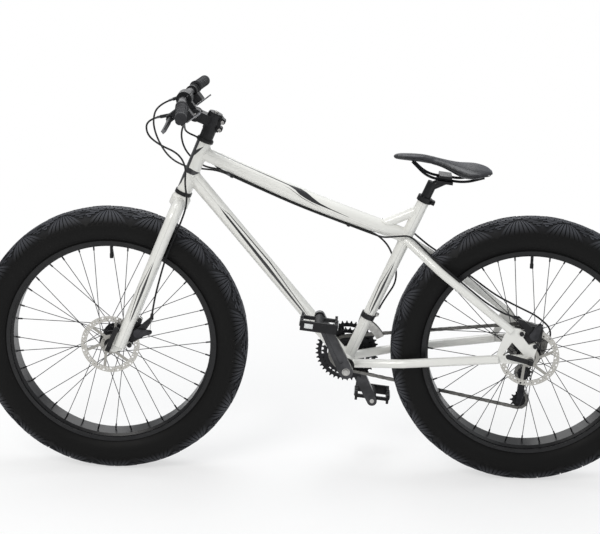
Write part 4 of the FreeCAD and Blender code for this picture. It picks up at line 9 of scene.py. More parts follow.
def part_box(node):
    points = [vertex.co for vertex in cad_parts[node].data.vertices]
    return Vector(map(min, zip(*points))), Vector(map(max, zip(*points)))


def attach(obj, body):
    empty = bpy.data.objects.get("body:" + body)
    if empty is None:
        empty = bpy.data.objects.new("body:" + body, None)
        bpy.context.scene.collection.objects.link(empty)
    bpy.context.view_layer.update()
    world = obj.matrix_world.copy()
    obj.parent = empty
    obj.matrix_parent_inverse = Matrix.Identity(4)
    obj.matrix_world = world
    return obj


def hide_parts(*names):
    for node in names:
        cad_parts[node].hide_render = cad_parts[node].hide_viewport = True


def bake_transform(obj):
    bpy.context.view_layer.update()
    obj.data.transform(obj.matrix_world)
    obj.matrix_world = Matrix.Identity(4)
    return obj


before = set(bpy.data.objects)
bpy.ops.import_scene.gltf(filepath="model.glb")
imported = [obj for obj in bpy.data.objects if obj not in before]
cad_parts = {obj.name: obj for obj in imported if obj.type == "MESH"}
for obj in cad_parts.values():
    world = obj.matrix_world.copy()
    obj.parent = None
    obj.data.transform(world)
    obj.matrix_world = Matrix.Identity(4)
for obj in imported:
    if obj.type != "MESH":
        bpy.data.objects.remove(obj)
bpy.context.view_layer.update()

bl_info = {
    "name": "Fat tyre bicycle",
    "version": (1, 0, 0),
    "blender": (4, 5, 0),
    "location": "3D View > Sidebar > Bicycle",
    "description": "Adds the finishes and soft pieces of a fat tyre bicycle to its packed frame",
    "category": "Object",
}

FRONT_AXLE = Vector((0.565, 0, 0.3705))
REAR_AXLE = Vector((-0.565, 0, 0.3705))
BOTTOM_BRACKET = Vector((-0.076, 0, 0.327))
STEER_FOOT = Vector((0.54185, 0, 0.36105))
STEER_AXIS = Vector((-0.37784, 0, 0.92587))
STEER_FORWARD = Vector((0.92587, 0, 0.37784))
SEAT_AXIS = Vector((-0.39715, 0, 0.91775))
TOP_TUBE_HEAD = Vector((0.3231, 0, 0.8971))
TOP_TUBE_ALONG = Vector((-0.9308, 0, -0.3656))
TOP_TUBE_UP = Vector((-0.3656, 0, 0.9308))
TOP_TUBE_LENGTH = 0.593
DOWN_TUBE_HEAD = Vector((0.3477, 0, 0.8369))
BRACE_SEAT = BOTTOM_BRACKET + SEAT_AXIS * 0.466
BRACE_LENGTH = (TOP_TUBE_HEAD + TOP_TUBE_ALONG * (TOP_TUBE_LENGTH * 0.865) - BRACE_SEAT).length
BRACE_ALONG = (TOP_TUBE_HEAD + TOP_TUBE_ALONG * (TOP_TUBE_LENGTH * 0.865) - BRACE_SEAT).normalized()
BAR_CENTRE = Vector((0.3602, 0, 1.0459))

ACROSS = Vector((0, 1, 0))
HEAD_TUBE_RADIUS = 0.020
TOP_TUBE_RADIUS = 0.0175
TOP_TUBE_END_RADII = (0.015, 0.0195)
TOP_TUBE_BRACED_RADIUS = 0.0185
DOWN_TUBE_RADIUS = 0.01905
SEAT_TUBE_RADIUS = 0.0159
SHELL_RADIUS = 0.022
BRACE_RADIUS = 0.013
SEAM_POINTS = 96
BEAD_RIPPLE = 0.16

CRANK_TURN = math.radians(64.7)
CRANK_LENGTH = 0.170
PEDAL_SIDE = 0.155
PEDAL_TILT = math.radians(-6.5)
LENS_BEVEL = 0.0005
LENS_RIM = 0.0012
LENS_SINK = 0.0004

# Painted bands: shares of a tube's length, each with the band's middle across the tube and its half width.
STRIPE_REACH = 0.03
STRIPE_EDGE = 0.0005
TOP_TUBE_BAND = (
    (0.05, 0.0165, 0), (0.08, 0.0165, 0.0007), (0.42, 0.011, 0.0010), (0.455, 0.0095, 0.0030),
    (0.48, 0.0065, 0.0062), (0.51, 0.0035, 0.0068), (0.545, -0.001, 0.0052), (0.58, -0.004, 0.0030),
    (0.63, -0.0055, 0.0014), (0.72, -0.007, 0.0005), (0.73, -0.007, 0))
TOP_TUBE_KEYLINE = (
    (0.40, 0.006, 0), (0.43, 0.0045, 0.0005), (0.50, -0.006, 0.0008), (0.56, -0.0105, 0.0006),
    (0.60, -0.012, 0))
HEAD_TUBE_LEAF = (
    (0.0, 0.019, 0), (0.18, 0.0168, 0.0022), (0.36, 0.0135, 0.0038), (0.55, 0.0095, 0.0042),
    (0.75, 0.0045, 0.0036), (0.9, -0.0005, 0.0016), (1.0, -0.004, 0))
LEAF_FOOT, LEAF_LENGTH = 0.553, 0.048
HEAD_TUBE_CUFF = ((0.0, 0.0, 0.004), (0.3, 0.0, 0.0062), (0.7, 0.001, 0.0075), (1.0, -0.002, 0.0075))
CUFF_HEIGHT, CUFF_BACK, CUFF_WIDTH = 0.524, -0.021, 0.042
HEAD_TUBE_TAIL = ((0.0, 0.021, 0.0012), (0.3, 0.020, 0.0048), (0.75, 0.019, 0.0062), (1.0, 0.019, 0.0075))
TAIL_FOOT, TAIL_LENGTH = 0.468, 0.054
DOWN_TUBE_LINE = (
    (0.17, 0.006, 0), (0.22, 0.005, 0.0024), (0.48, 0.001, 0.0042), (0.70, -0.003, 0.0022), (0.80, -0.004, 0))
SEAT_TUBE_LINE = ((0.30, 0, 0), (0.34, 0, 0.0022), (0.48, 0, 0.0032), (0.60, 0, 0.0012), (0.64, 0, 0))
SEAT_TUBE_LENGTH = 0.49
FORK_LINE = (
    (0.20, -0.002, 0), (0.24, -0.002, 0.0018), (0.42, -0.001, 0.0034), (0.56, 0, 0.0012), (0.60, 0, 0))
FORK_LENGTH = 0.465

# The thin line beside each tapered line: its distance in half widths, a gap, and its share of the width.
THIN_LINE_RISE = 2.6
THIN_LINE_GAP = 0.0012
THIN_LINE_SHARE = 0.35

# The camera fitted to the photograph: its place, its turns, and its focal length in pixels of the picture.
CAMERA_PLACE = Vector((-0.120665, 4.079017, 1.778818))
CAMERA_YAW, CAMERA_PITCH, CAMERA_ROLL = 0.043, 0.284, 0.013
CAMERA_FOCAL, PICTURE_WIDTH, SENSOR_WIDTH = 1579.325, 600, 36

# Studio lamps: name, place, diameter, power and colour.
LAMPS = (
    ("key_lamp", (1.6, 2.6, 3.0), 1.8, 60, (1, 0.985, 0.96)),
    ("fill_lamp", (-2.6, 2.4, 1.6), 2.2, 17, (0.95, 0.975, 1)),
    ("top_lamp", (0.0, -0.6, 3.4), 2.0, 50, (0.97, 0.985, 1)),
    ("back_lamp", (0.4, -3.2, 1.8), 2.4, 16, (1, 1, 1)))
LAMP_AIM = Vector((0, 0, 0.45))

# Corners of the cable routes, the same as in the part's source.
FRONT_BRAKE_ROUTE = (
    (0.410, 0.125, 1.014), (0.449, 0.1058, 1.002), (0.452, 0.096, 0.962), (0.420, 0.086, 0.932),
    (0.372, 0.072, 0.908), (0.354, 0.056, 0.868), (0.360, 0.042, 0.820), (0.353, 0.037, 0.768),
    (0.372, 0.042, 0.710), (0.404, 0.060, 0.640), (0.424, 0.073, 0.572), (0.442, 0.0737, 0.500),
    (0.448, 0.0737, 0.457))
REAR_BRAKE_LOOP = (
    (0.410, -0.125, 1.014), (0.449, -0.1058, 1.002), (0.462, -0.092, 0.960), (0.447, -0.078, 0.912),
    (0.412, -0.050, 0.868), (0.362, -0.031, 0.848), (0.325, -0.027, 0.846), (0.270, 0.008, 0.850),
    (0.242, 0.008, 0.837))
LEFT_SHIFT_LOOP = (
    (0.353, 0.089, 1.000), (0.362, 0.026, 0.972), (0.362, -0.010, 0.948), (0.332, -0.034, 0.930),
    (0.300, -0.037, 0.908), (0.296, -0.032, 0.864), (0.270, 0, 0.850), (0.242, 0, 0.837))
RIGHT_SHIFT_LOOP = (
    (0.353, -0.089, 1.000), (0.358, -0.058, 0.986), (0.380, -0.040, 0.945), (0.372, -0.038, 0.900),
    (0.345, -0.040, 0.866), (0.312, -0.038, 0.848), (0.270, -0.008, 0.850), (0.242, -0.008, 0.837))
WIRE_RADIUS = 0.0009
WIRE_TAIL = 0.016
# An end cap's outline, as radius and height.
FERRULE = (
    (0.0026, 0.0), (0.0033, 0.0004), (0.0033, 0.0088), (0.0030, 0.0098), (0.0030, 0.0112), (0.0026, 0.0114))
# Ends of the housings on the frame, each with a point further back along it.
FRAME_ENDS = (
    ((-0.5239, 0.0993, 0.4910), (-0.5049, 0.0993, 0.4972)),
    ((-0.1600, -0.0340, 0.4640), (-0.1687, -0.0292, 0.4814)),
    ((-0.5930, -0.1000, 0.3400), (-0.6122, -0.1014, 0.3454)),
)
SHIFT_WIRE = ((-0.1600, -0.0340, 0.4640), (-0.1550, -0.0372, 0.4562), (-0.1495, -0.0405, 0.4485))
BRAKE_WIRES = {
    "front": ((0.4484, 0.0737, 0.4545), (0.4538, 0.0737, 0.4155), "steering"),
    "rear": ((-0.5270, 0.0993, 0.4900), (-0.5848, 0.0993, 0.4712), "frame"),
}

# Pedal reflectors: the middle of each in its pedal's frame, and its three sides.
PEDAL_LENSES = (
    ((0.0506, 0, 0), (0.0016, 0.046, 0.0115)),
    ((-0.0506, 0, 0), (0.0016, 0.046, 0.0115)),
    ((0.026, 0.0396, 0.001), (0.022, 0.0016, 0.0125)),
)

# The stem's bolts: forward, side and height in the steering frame, and radius.
STEM_BOLTS = (
    (-0.0248, 0.018, 0.6573, 0.0046), (-0.0248, -0.018, 0.6573, 0.0046),
    (-0.0248, 0.018, 0.6793, 0.0046), (-0.0248, -0.018, 0.6793, 0.0046),
    (0.048, 0.018, 0.6683, 0.0062), (0.048, -0.018, 0.6683, 0.0062),
)

CAP_HEIGHT, CAP_BOLT_RADIUS = 0.6943, 0.0058
# A bolt head's outline in its own radius: the socket's floor and wall, the rim and the side.
BOLT_HEAD = (
    (0, 0.12), (0.48, 0.12), (0.52, 0.16), (0.54, 0.6), (0.62, 0.66), (0.85, 0.66), (0.97, 0.54), (1, 0.4),
    (1, -0.1))

# The grips: the bar's bend and end beside its middle, and the outlines before and after the rings.
BAR_BEND = (0, 0.062, 0)
BAR_END = (-0.020, 0.280, -0.006)
GRIP_LENGTH = 0.125
GRIP_FLANGE = (
    (0.0112, 0.0), (0.0165, 0.0), (0.0170, 0.0008), (0.0170, 0.0032), (0.0160, 0.0042), (0.0142, 0.0055))
GRIP_TIP = (
    (0.0144, 0.1155), (0.0150, 0.1168), (0.0150, 0.1262), (0.0142, 0.1282), (0.0120, 0.1286), (0.0, 0.1286))
GRIP_RINGS = 22
RINGS_START, RINGS_LENGTH = 0.008, 0.106
GRIP_RING = ((0.0139, 0.0), (0.0148, 0.0008), (0.0148, 0.0029), (0.0139, 0.0037))

# Small holes in the brake discs: radius of the row, count, phase in pitches and radius of a hole.
DISC_ROWS = ((0.0680, 48, 0.25, 0.0011), (0.0725, 24, 0.5, 0.0016), (0.0770, 48, 0.25, 0.0011))
DRILL_SIDES = 12
DRILL_OVERRUN = 0.004

# The tyre's outer outline from the bead to the crown, as radius and height over the middle plane.
BEAD = (0.27955, 0.0367)
GRIP = (0.2889, 0.0367)
SIDEWALL = (0.3232, 0.0515)
SHOULDER = (0.3587, 0.0397)
CROWN_EDGE = (0.3705, 0.018)
CROWN_BEND = (0.3673, 0.0288)
CASING_INSIDE = ((0.2800, 0.031), (0.2890, 0.0305), (0.3232, 0.0475), (0.352, 0.034), (0.3635, 0.014))
RIDGE_BANDS = ((0.112, 0.1145), (0.1175, 0.119))
RIDGE_HEIGHT = 0.0007
REAR_TYRE_TURN = math.radians(7)

# The tread, in lengths along the outline from the crown.
TREAD_GAP = 0.0020
TREAD_BEVEL = 0.0005
TREAD_ROOT = 0.0004
TREAD_FADE, TREAD_FADE_LENGTH = 0.054, 0.018
FAN_BLADES = 8
FAN_STEPS = 6
FAN_START, FAN_LENGTH = 0.020, 0.050
FAN_FOOT, FAN_POWER = 0.17, 0.8
FAN_INSET = 0.004
CENTRE_BLOCKS = 6
CENTRE_BLOCK = (
    (-0.0135, -0.006), (-0.004, -0.006), (-0.0035, 0.002), (0.0035, 0.002), (0.004, 0.010), (0.0135, 0.010))
STEP_RANKS = ((0.0195, 0.40), (0.0265, 0.30), (0.0335, 0.21), (0.0405, 0.13))
STEP_LIFT = 0.0028
STEP_DEPTH = 0.0048

# The saddle's cover.
VOXEL = 0.0045
PIPING_RADIUS = 0.0012
PIPING_POINTS = 30
PIPING_MARGIN = 0.006
PIPING_DROP = 0.001
SWELL_FRAMES = 14


class BicycleColours(bpy.types.PropertyGroup):
    """Colours that a user would change"""
    paint: bpy.props.FloatVectorProperty(
        name="Paint", description="Pearl white of the frame and fork", subtype="COLOR", size=4,
        default=(0.80, 0.795, 0.755, 1))
    stripe: bpy.props.FloatVectorProperty(
        name="Stripes", description="Dark stripes on the frame", subtype="COLOR", size=4,
        default=(0.012, 0.012, 0.014, 1))
    rubber: bpy.props.FloatVectorProperty(
        name="Tyre rubber", description="Tyre casing and tread", subtype="COLOR", size=4,
        default=(0.005, 0.0049, 0.0048, 1))
    # Painted highlight with some dust: the lighter, bluish tone laid on the tread round the crown and on the
    # block tops.
    tread: bpy.props.FloatVectorProperty(
        name="Tread highlight", description="Painted highlight with dust on the tread's crown and block tops", subtype="COLOR", size=4,
        default=(0.058, 0.06, 0.068, 1))
    cover: bpy.props.FloatVectorProperty(
        name="Saddle cover", description="Stretched cover of the saddle", subtype="COLOR", size=4,
        default=(0.012, 0.0122, 0.0142, 1))
    grip: bpy.props.FloatVectorProperty(
        name="Grips", description="Rubber of the grips", subtype="COLOR", size=4,
        default=(0.02, 0.02, 0.022, 1))


class BicycleSizes(bpy.types.PropertyGroup):
    """Sizes that a user would change"""
    tread_depth: bpy.props.FloatProperty(
        name="Tread depth", description="How far the tread blocks stand out of the casing", unit="LENGTH",
        default=0.0034)
    fans: bpy.props.IntProperty(
        name="Tread fans", description="How many times the tread repeats round the tyre", default=18)
    housing: bpy.props.FloatProperty(
        name="Housing", description="Diameter of the cable housings", unit="LENGTH", default=0.005)
    bead: bpy.props.FloatProperty(
        name="Weld bead", description="Radius of the welds between the tubes", unit="LENGTH", default=0.0021)
    puff: bpy.props.FloatProperty(
        name="Saddle puff", description="How far the saddle's cover may swell", unit="LENGTH", default=0.0025)


class Shade:
    """A socket in a material's tree; arithmetic on it adds Math nodes."""

    def __init__(self, tree, socket=None):
        self.tree = tree
        self.socket = socket

    def node(self, kind, settings, inputs, output=0):
        """Add a node of a kind, set it up, and give its sockets values or links."""
        made = self.tree.nodes.new(kind)
        for name, setting in settings.items():
            if name == "stops":
                self.set_stops(made.color_ramp, setting)
            else:
                setattr(made, name, setting)
        for name, given in inputs.items():
            if isinstance(given, Shade):
                self.tree.links.new(given.socket, made.inputs[name])
            else:
                made.inputs[name].default_value = given
        return Shade(self.tree, made.outputs[output])

    @staticmethod
    def set_stops(ramp, stops):
        while len(ramp.elements) < len(stops):
            ramp.elements.new(1)
        for element, (place, grey) in zip(ramp.elements, stops):
            element.position = place
            element.color = (grey, grey, grey, 1)

    def maths(self, operation, first, second=0.0):
        return self.node("ShaderNodeMath", {"operation": operation}, {0: first, 1: second})

    def __add__(self, other):
        return self.maths("ADD", self, other)

    __radd__ = __add__

    def __sub__(self, other):
        return self.maths("SUBTRACT", self, other)

    def __rsub__(self, other):
        return self.maths("SUBTRACT", other, self)

    def __mul__(self, other):
        return self.maths("MULTIPLY", self, other)

    __rmul__ = __mul__

    def __truediv__(self, other):
        return self.maths("DIVIDE", self, other)

    def __abs__(self):
        return self.maths("ABSOLUTE", self)

    def top(self, other):
        return self.maths("MAXIMUM", self, other)

    def ease(self, low, high):
        """0 below low, 1 above high, smooth between them."""
        return self.node("ShaderNodeMapRange", {"interpolation_type": "SMOOTHSTEP"},
                         {"Value": self, "From Min": low, "From Max": high})

    def ramp(self, stops):
        """A value read off a ramp of places and greys."""
        return self.node("ShaderNodeValToRGB", {"stops": stops}, {"Fac": self})

    def mix(self, first, second):
        """A colour between two, by this value."""
        return self.node("ShaderNodeMix", {"data_type": "RGBA"}, {"Factor": self, 6: first, 7: second}, 2)


class Finish:
    """A material and the parts of it that the finishes below write to."""

    def __init__(self, name, colour, roughness, metallic=0.0, **constants):
        self.material = bpy.data.materials.new(name)
        self.material.use_nodes = True
        tree = self.material.node_tree
        self.shader = tree.nodes["Principled BSDF"]
        self.root = Shade(tree)
        self.set("Base Color", colour)
        self.set("Roughness", roughness)
        self.set("Metallic", metallic)
        for name, constant in constants.items():
            self.set(name.replace("_", " ").title().replace("Ior", "IOR"), constant)
        self.place = self.root.node("ShaderNodeTexCoord", {}, {}, "Object")

    def set(self, name, given):
        if isinstance(given, Shade):
            given.tree.links.new(given.socket, self.shader.inputs[name])
        else:
            self.shader.inputs[name].default_value = given

    def axes(self):
        """The three coordinates of a point in metres."""
        return [self.root.node("ShaderNodeSeparateXYZ", {}, {0: self.place}, axis) for axis in "XYZ"]

    def along(self, start, direction):
        """How far a point lies from start in a direction."""
        x, y, z = self.axes()
        return sum(((axis - offset) * share for axis, offset, share in zip((x, y, z), start, direction)
                    if abs(share) > 1e-6), start=0.0)

    def noise(self, scale, detail=2.0, stretch=(1, 1, 1)):
        """Grain of a size, stretched along the axes."""
        mapped = self.root.node("ShaderNodeMapping", {}, {"Vector": self.place, "Scale": stretch})
        inputs = {"Vector": mapped, "Scale": scale, "Detail": detail}
        return self.root.node("ShaderNodeTexNoise", {}, inputs, "Fac")

    def cells(self, scale):
        return self.root.node("ShaderNodeTexVoronoi", {}, {"Vector": self.place, "Scale": scale}, "Distance")

    def bump(self, height, strength, distance=0.001):
        inputs = {"Height": height, "Strength": strength, "Distance": distance}
        self.set("Normal", self.root.node("ShaderNodeBump", {}, inputs))

    def grained(self, grain, spread, low, strength, distance=0.001):
        """Let a grain vary the roughness and lift the surface."""
        self.set("Roughness", grain * spread + low)
        self.bump(grain, strength, distance)

    def toned(self, colour, other, grain, amount):
        """A base colour that drifts a little towards another with the grain."""
        self.set("Base Color", (grain.ease(0.35, 0.7) * amount).mix(colour, other))


def stripe(along, across, stops):
    """A painted band: stops are places along it with its middle and half width."""
    middles = [(place, 0.5 + centre / STRIPE_REACH / 2) for place, centre, half in stops]
    halves = [(place, half / STRIPE_REACH) for place, centre, half in stops]
    middle = (along.ramp(middles) - 0.5) * (2 * STRIPE_REACH)
    inside = along.ramp(halves) * STRIPE_REACH - abs(across - middle)
    return inside.ease(-STRIPE_EDGE, STRIPE_EDGE)


def pearl_paint(name, masks=()):
    """Pearl white under a clear coat, with dark bands where the masks say so."""
    colours = bpy.context.scene.bicycle_colours
    made = Finish(name, colours.paint, 0.32, coat_weight=0.7, coat_roughness=0.08, specular_ior_level=0.5)
    fleck = made.noise(1400, 1.0)
    cloud = made.noise(9, 2.0)
    pearl = (fleck * 0.25 + cloud * 0.75).ease(0.3, 0.7).mix(
        [c * 0.975 for c in colours.paint[:3]] + [1], [min(1, c * 1.015) for c in colours.paint[:3]] + [1])
    for mask in masks:
        pearl = mask(made).mix(pearl, list(colours.stripe))
    made.set("Base Color", pearl)
    made.set("Roughness", cloud * 0.1 + 0.26)
    return made.material


def top_tube_bands(made):
    along = made.along(TOP_TUBE_HEAD, TOP_TUBE_ALONG) / TOP_TUBE_LENGTH
    up = made.along(TOP_TUBE_HEAD, TOP_TUBE_UP)
    return stripe(along, up, TOP_TUBE_BAND).top(stripe(along, up, TOP_TUBE_KEYLINE))


def head_tube_bands(made):
    along = made.along(STEER_FOOT, STEER_AXIS)
    across = made.along(STEER_FOOT, STEER_FORWARD)
    leaf = stripe((along - LEAF_FOOT) / LEAF_LENGTH, across, HEAD_TUBE_LEAF)
    cuff = stripe((across - CUFF_BACK) / CUFF_WIDTH, along - CUFF_HEIGHT, HEAD_TUBE_CUFF)
    tail = stripe((along - TAIL_FOOT) / TAIL_LENGTH, across, HEAD_TUBE_TAIL)
    return leaf.top(cuff).top(tail)


def tapered_pair(start, direction, up, length, stops):
    """Two plain tapered lines along a tube, a wide one and a thin one."""
    thin = [(place, centre + half * THIN_LINE_RISE + THIN_LINE_GAP, half * THIN_LINE_SHARE)
            for place, centre, half in stops]

    def mask(made):
        along = made.along(start, direction) / length
        across = made.along(start, up)
        return stripe(along, across, stops).top(stripe(along, across, thin))
    return mask


def tyre_rubber():
    colours = bpy.context.scene.bicycle_colours
    made = Finish("tyre_rubber", colours.rubber, 0.55, sheen_weight=0.015, sheen_roughness=0.4,
                  sheen_tint=(0.55, 0.6, 0.8, 1), specular_ior_level=0.14)
    dust = made.noise(14, 4.0)
    raised = made.root.node("ShaderNodeAttribute", {"attribute_name": "raised"}, {}, "Fac")
    x, y, z = made.axes()
    across, up = abs(x) - FRONT_AXLE.x, z - FRONT_AXLE.z
    radius = made.root.maths("SQRT", across * across + up * up)
    # Painted highlight and painted shade: the tread zone round the crown is lighter and bluer, as if lit from
    # above, most on the block tops, while the grooves between the blocks stay dark. The dust noise varies the
    # tone a little.
    toned = radius.ease(SIDEWALL[0] + 0.014, CROWN_EDGE[0] - 0.006) * (raised.ease(0.4, 1.0) * 0.7 + 0.3)
    made.set("Base Color", (toned * (dust * 0.5 + 0.7)).mix(list(colours.rubber), list(colours.tread)))
    made.set("Roughness", dust * 0.18 + 0.44)
    made.bump(made.noise(900, 3.0), 0.12)
    return made.material


def satin_black(name="satin_black", colour=(0.006, 0.006, 0.0068, 1), roughness=0.3):
    made = Finish(name, colour, roughness, specular_ior_level=0.3, coat_weight=0.06, coat_roughness=0.2)
    grain = made.noise(60, 3.0)
    made.toned(colour, (0.013, 0.013, 0.0142, 1), grain, 0.6)
    made.set("Roughness", grain * 0.14 + (roughness - 0.07))
    made.bump(made.noise(1100, 2.0), 0.05)
    return made.material


def cast_black():
    made = Finish("cast_black", (0.008, 0.008, 0.009, 1), 0.42, specular_ior_level=0.3)
    grain = made.noise(750, 2.0)
    made.toned((0.007, 0.007, 0.008, 1), (0.022, 0.022, 0.024, 1), made.noise(40, 3.0), 0.6)
    made.grained(grain, 0.12, 0.4, 0.18)
    return made.material


def spoke_steel():
    made = Finish("spoke_steel", (0.03, 0.03, 0.034, 1), 0.32, 0.85)
    grain = made.noise(120, 2.0)
    made.set("Roughness", grain * 0.15 + 0.26)
    made.toned((0.025, 0.025, 0.028, 1), (0.06, 0.06, 0.065, 1), grain, 0.6)
    return made.material


def disc_steel(name, centre):
    """Stainless steel, brushed round its axle, with a warm tint."""
    made = Finish(name, (0.48, 0.47, 0.44, 1), 0.34, 1.0)
    x, y, z = made.axes()
    across, up = x - centre.x, z - centre.z
    radius = made.root.maths("SQRT", across * across + up * up)
    inputs = {"W": radius, "Scale": 2600.0, "Detail": 3.0}
    rings = made.root.node("ShaderNodeTexNoise", {"noise_dimensions": "1D"}, inputs, "Fac")
    track = radius.ease(0.0645, 0.066)
    made.set("Base Color", track.mix((0.36, 0.35, 0.325, 1), (0.52, 0.505, 0.47, 1)))
    made.grained(rings, 0.2, 0.22, 0.08, 0.0004)
    return made.material


def bright_steel(name="bright_steel", colour=(0.56, 0.55, 0.53, 1), roughness=0.3):
    made = Finish(name, colour, roughness, 1.0)
    grain = made.noise(300, 3.0, (1, 1, 4))
    smut = made.noise(70, 3.0)
    made.toned(colour, [c * 0.55 for c in colour[:3]] + [1], smut, 0.7)
    made.grained(grain, 0.22, roughness - 0.08, 0.04, 0.0004)
    return made.material


def graphite_alloy():
    made = Finish("graphite_alloy", (0.045, 0.045, 0.048, 1), 0.3, 0.75, coat_weight=0.2, coat_roughness=0.15)
    grain = made.noise(500, 2.0, (1, 1, 3))
    made.toned((0.032, 0.032, 0.034, 1), (0.085, 0.085, 0.09, 1), made.noise(22, 3.0), 0.7)
    made.grained(grain, 0.15, 0.26, 0.05, 0.0005)
    return made.material


def moulded_plastic(name="moulded_plastic", colour=(0.008, 0.008, 0.009, 1)):
    made = Finish(name, colour, 0.46, specular_ior_level=0.3)
    grain = made.cells(1300)
    made.toned(colour, [min(1, c * 1.8) for c in colour[:3]] + [1], made.noise(50, 3.0), 0.5)
    made.grained(grain, 0.25, 0.42, 0.15, 0.0006)
    return made.material


def cable_skin():
    made = Finish("cable_skin", (0.006, 0.006, 0.0066, 1), 0.34, specular_ior_level=0.35)
    grain = made.noise(260, 2.0)
    made.toned((0.0055, 0.0055, 0.006, 1), (0.014, 0.014, 0.015, 1), made.noise(30, 2.0), 0.6)
    made.grained(grain, 0.15, 0.3, 0.06, 0.0005)
    return made.material


def saddle_cover():
    """Black synthetic leather: a fine pebble, with broad patches a little lighter."""
    colours = bpy.context.scene.bicycle_colours
    made = Finish("saddle_cover", colours.cover, 0.4, sheen_weight=0.06, sheen_roughness=0.35,
                  sheen_tint=(0.7, 0.75, 1, 1), specular_ior_level=0.4, coat_weight=0.22, coat_roughness=0.3)
    pebble = made.cells(750)
    broad = made.noise(28, 3.0)
    made.toned(list(colours.cover), (0.026, 0.0265, 0.032, 1), broad, 0.7)
    made.set("Roughness", pebble * 0.25 + 0.33)
    made.bump(pebble * 0.7 + broad * 0.3, 0.16, 0.0006)
    return made.material


def grip_rubber():
    colours = bpy.context.scene.bicycle_colours
    made = Finish("grip_rubber", colours.grip, 0.62, sheen_weight=0.05, sheen_roughness=0.5,
                  specular_ior_level=0.25)
    grain = made.noise(800, 2.0)
    made.toned(list(colours.grip), (0.042, 0.042, 0.046, 1), made.noise(45, 3.0), 0.6)
    made.grained(grain, 0.2, 0.58, 0.2, 0.0006)
    return made.material


def prism_lens():
    """Clear white reflector: small prisms under a glossy face."""
    made = Finish("prism_lens", (0.82, 0.83, 0.82, 1), 0.2, coat_weight=0.8, coat_roughness=0.05)
    prisms = made.cells(520)
    made.set("Base Color", prisms.ease(0.1, 0.7).mix((0.86, 0.87, 0.86, 1), (0.62, 0.63, 0.63, 1)))
    made.grained(prisms, 0.25, 0.12, 0.5, 0.0008)
    return made.material


def deselect():
    if bpy.context.mode != "OBJECT":
        bpy.ops.object.mode_set(mode="OBJECT")
    bpy.ops.object.select_all(action="DESELECT")


def make_active(piece):
    deselect()
    piece.select_set(True)
    bpy.context.view_layer.objects.active = piece


def drawn(name, points, edges=(), faces=()):
    """A new mesh object from points, to be shaped with the edit tools."""
    mesh = bpy.data.meshes.new(name)
    mesh.from_pydata([tuple(point) for point in points], list(edges), list(faces))
    piece = bpy.data.objects.new(name, mesh)
    bpy.context.scene.collection.objects.link(piece)
    make_active(piece)
    return piece


def edit_all():
    bpy.ops.object.mode_set(mode="EDIT")
    bpy.ops.mesh.select_all(action="SELECT")


def leave_edit():
    bpy.ops.object.mode_set(mode="OBJECT")


def merge_points(threshold=0.00001):
    """Merge the active piece's points that coincide."""
    edit_all()
    bpy.ops.mesh.remove_doubles(threshold=threshold)
    leave_edit()


def tidy_normals():
    """Merge what coincides and point the faces outwards."""
    merge_points()
    edit_all()
    bpy.ops.mesh.normals_make_consistent(inside=False)
    leave_edit()


def apply_modifier(piece, name, kind, **settings):
    """Add a modifier to the active piece, set it up and apply it."""
    added = piece.modifiers.new(name, kind)
    for setting, given in settings.items():
        setattr(added, setting, given)
    bpy.ops.object.modifier_apply(modifier=name)


def settle(piece, body, material, replaced=(), angle=35):
    """Give a finished piece its material, its smooth shading, its body and the nodes it stands for."""
    make_active(piece)
    bpy.ops.object.transform_apply(location=True, rotation=True, scale=True)
    bpy.ops.object.shade_smooth_by_angle(angle=math.radians(angle))
    piece.data.materials.clear()
    piece.data.materials.append(material)
    if body is not None:
        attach(piece, body)
    if replaced:
        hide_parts(*replaced)
    return piece


def turned(name, outline, centre, axis, steps):
    """An outline of radius and height, drawn beside an axis and spun round it."""
    axis = Vector(axis).normalized()
    side = axis.orthogonal().normalized()
    points = [centre + side * radius + axis * height for radius, height in outline]
    piece = drawn(name, points, edges=[(index, index + 1) for index in range(len(points) - 1)])
    edit_all()
    bpy.ops.mesh.spin(steps=steps, angle=math.tau, center=centre, axis=axis)
    leave_edit()
    tidy_normals()
    return piece


def arc_through(first, middle, last, steps):
    """Points along the circle through three points, both ends included."""
    start, via, end = (complex(*point) for point in (first, middle, last))
    ratio = (end - start) / (via - start)
    centre = start + (via - start) * (ratio - abs(ratio) ** 2) / (2j * ratio.imag)
    turn = cmath.phase((end - centre) / (start - centre))
    points = [centre + (start - centre) * cmath.rect(1, turn * index / steps) for index in range(steps + 1)]
    return [(point.real, point.imag) for point in points]


def tube_along(name, points, radius, order=3, bulges=None, sides=4, closed=False, resolution=12):
    """A round tube on a smooth line through control points, made a mesh."""
    deselect()
    curve = bpy.data.curves.new(name, "CURVE")
    curve.dimensions = "3D"
    curve.bevel_depth = radius
    curve.bevel_resolution = sides
    curve.use_fill_caps = not closed
    spline = curve.splines.new("NURBS" if order else "POLY")
    spline.points.add(len(points) - 1)
    for index, point in enumerate(points):
        spline.points[index].co = (*point, 1)
        if bulges:
            spline.points[index].radius = bulges[index]
    if order:
        spline.order_u = order
        spline.use_endpoint_u = not closed
        spline.resolution_u = resolution
    spline.use_cyclic_u = closed
    piece = bpy.data.objects.new(name, curve)
    bpy.context.scene.collection.objects.link(piece)
    make_active(piece)
    bpy.ops.object.convert(target="MESH")
    return bpy.context.view_layer.objects.active


def joined(name, pieces):
    """Several finished meshes as one object."""
    deselect()
    for piece in pieces:
        piece.select_set(True)
    bpy.context.view_layer.objects.active = pieces[0]
    if len(pieces) > 1:
        bpy.ops.object.join()
    pieces[0].name = pieces[0].data.name = name
    return pieces[0]


def steer_place(forward, side, height):
    return STEER_FOOT + STEER_FORWARD * forward + Vector((0, side, 0)) + STEER_AXIS * height


def socket_bolt(name, place, axis, radius):
    """A round bolt head with a socket sunk in its face."""
    return turned(name, [(radius * out, radius * up) for out, up in BOLT_HEAD], place, axis, 24)


def paint_nodes(material, *names):
    for name in names:
        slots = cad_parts[name].data.materials
        slots.clear()
        slots.append(material)


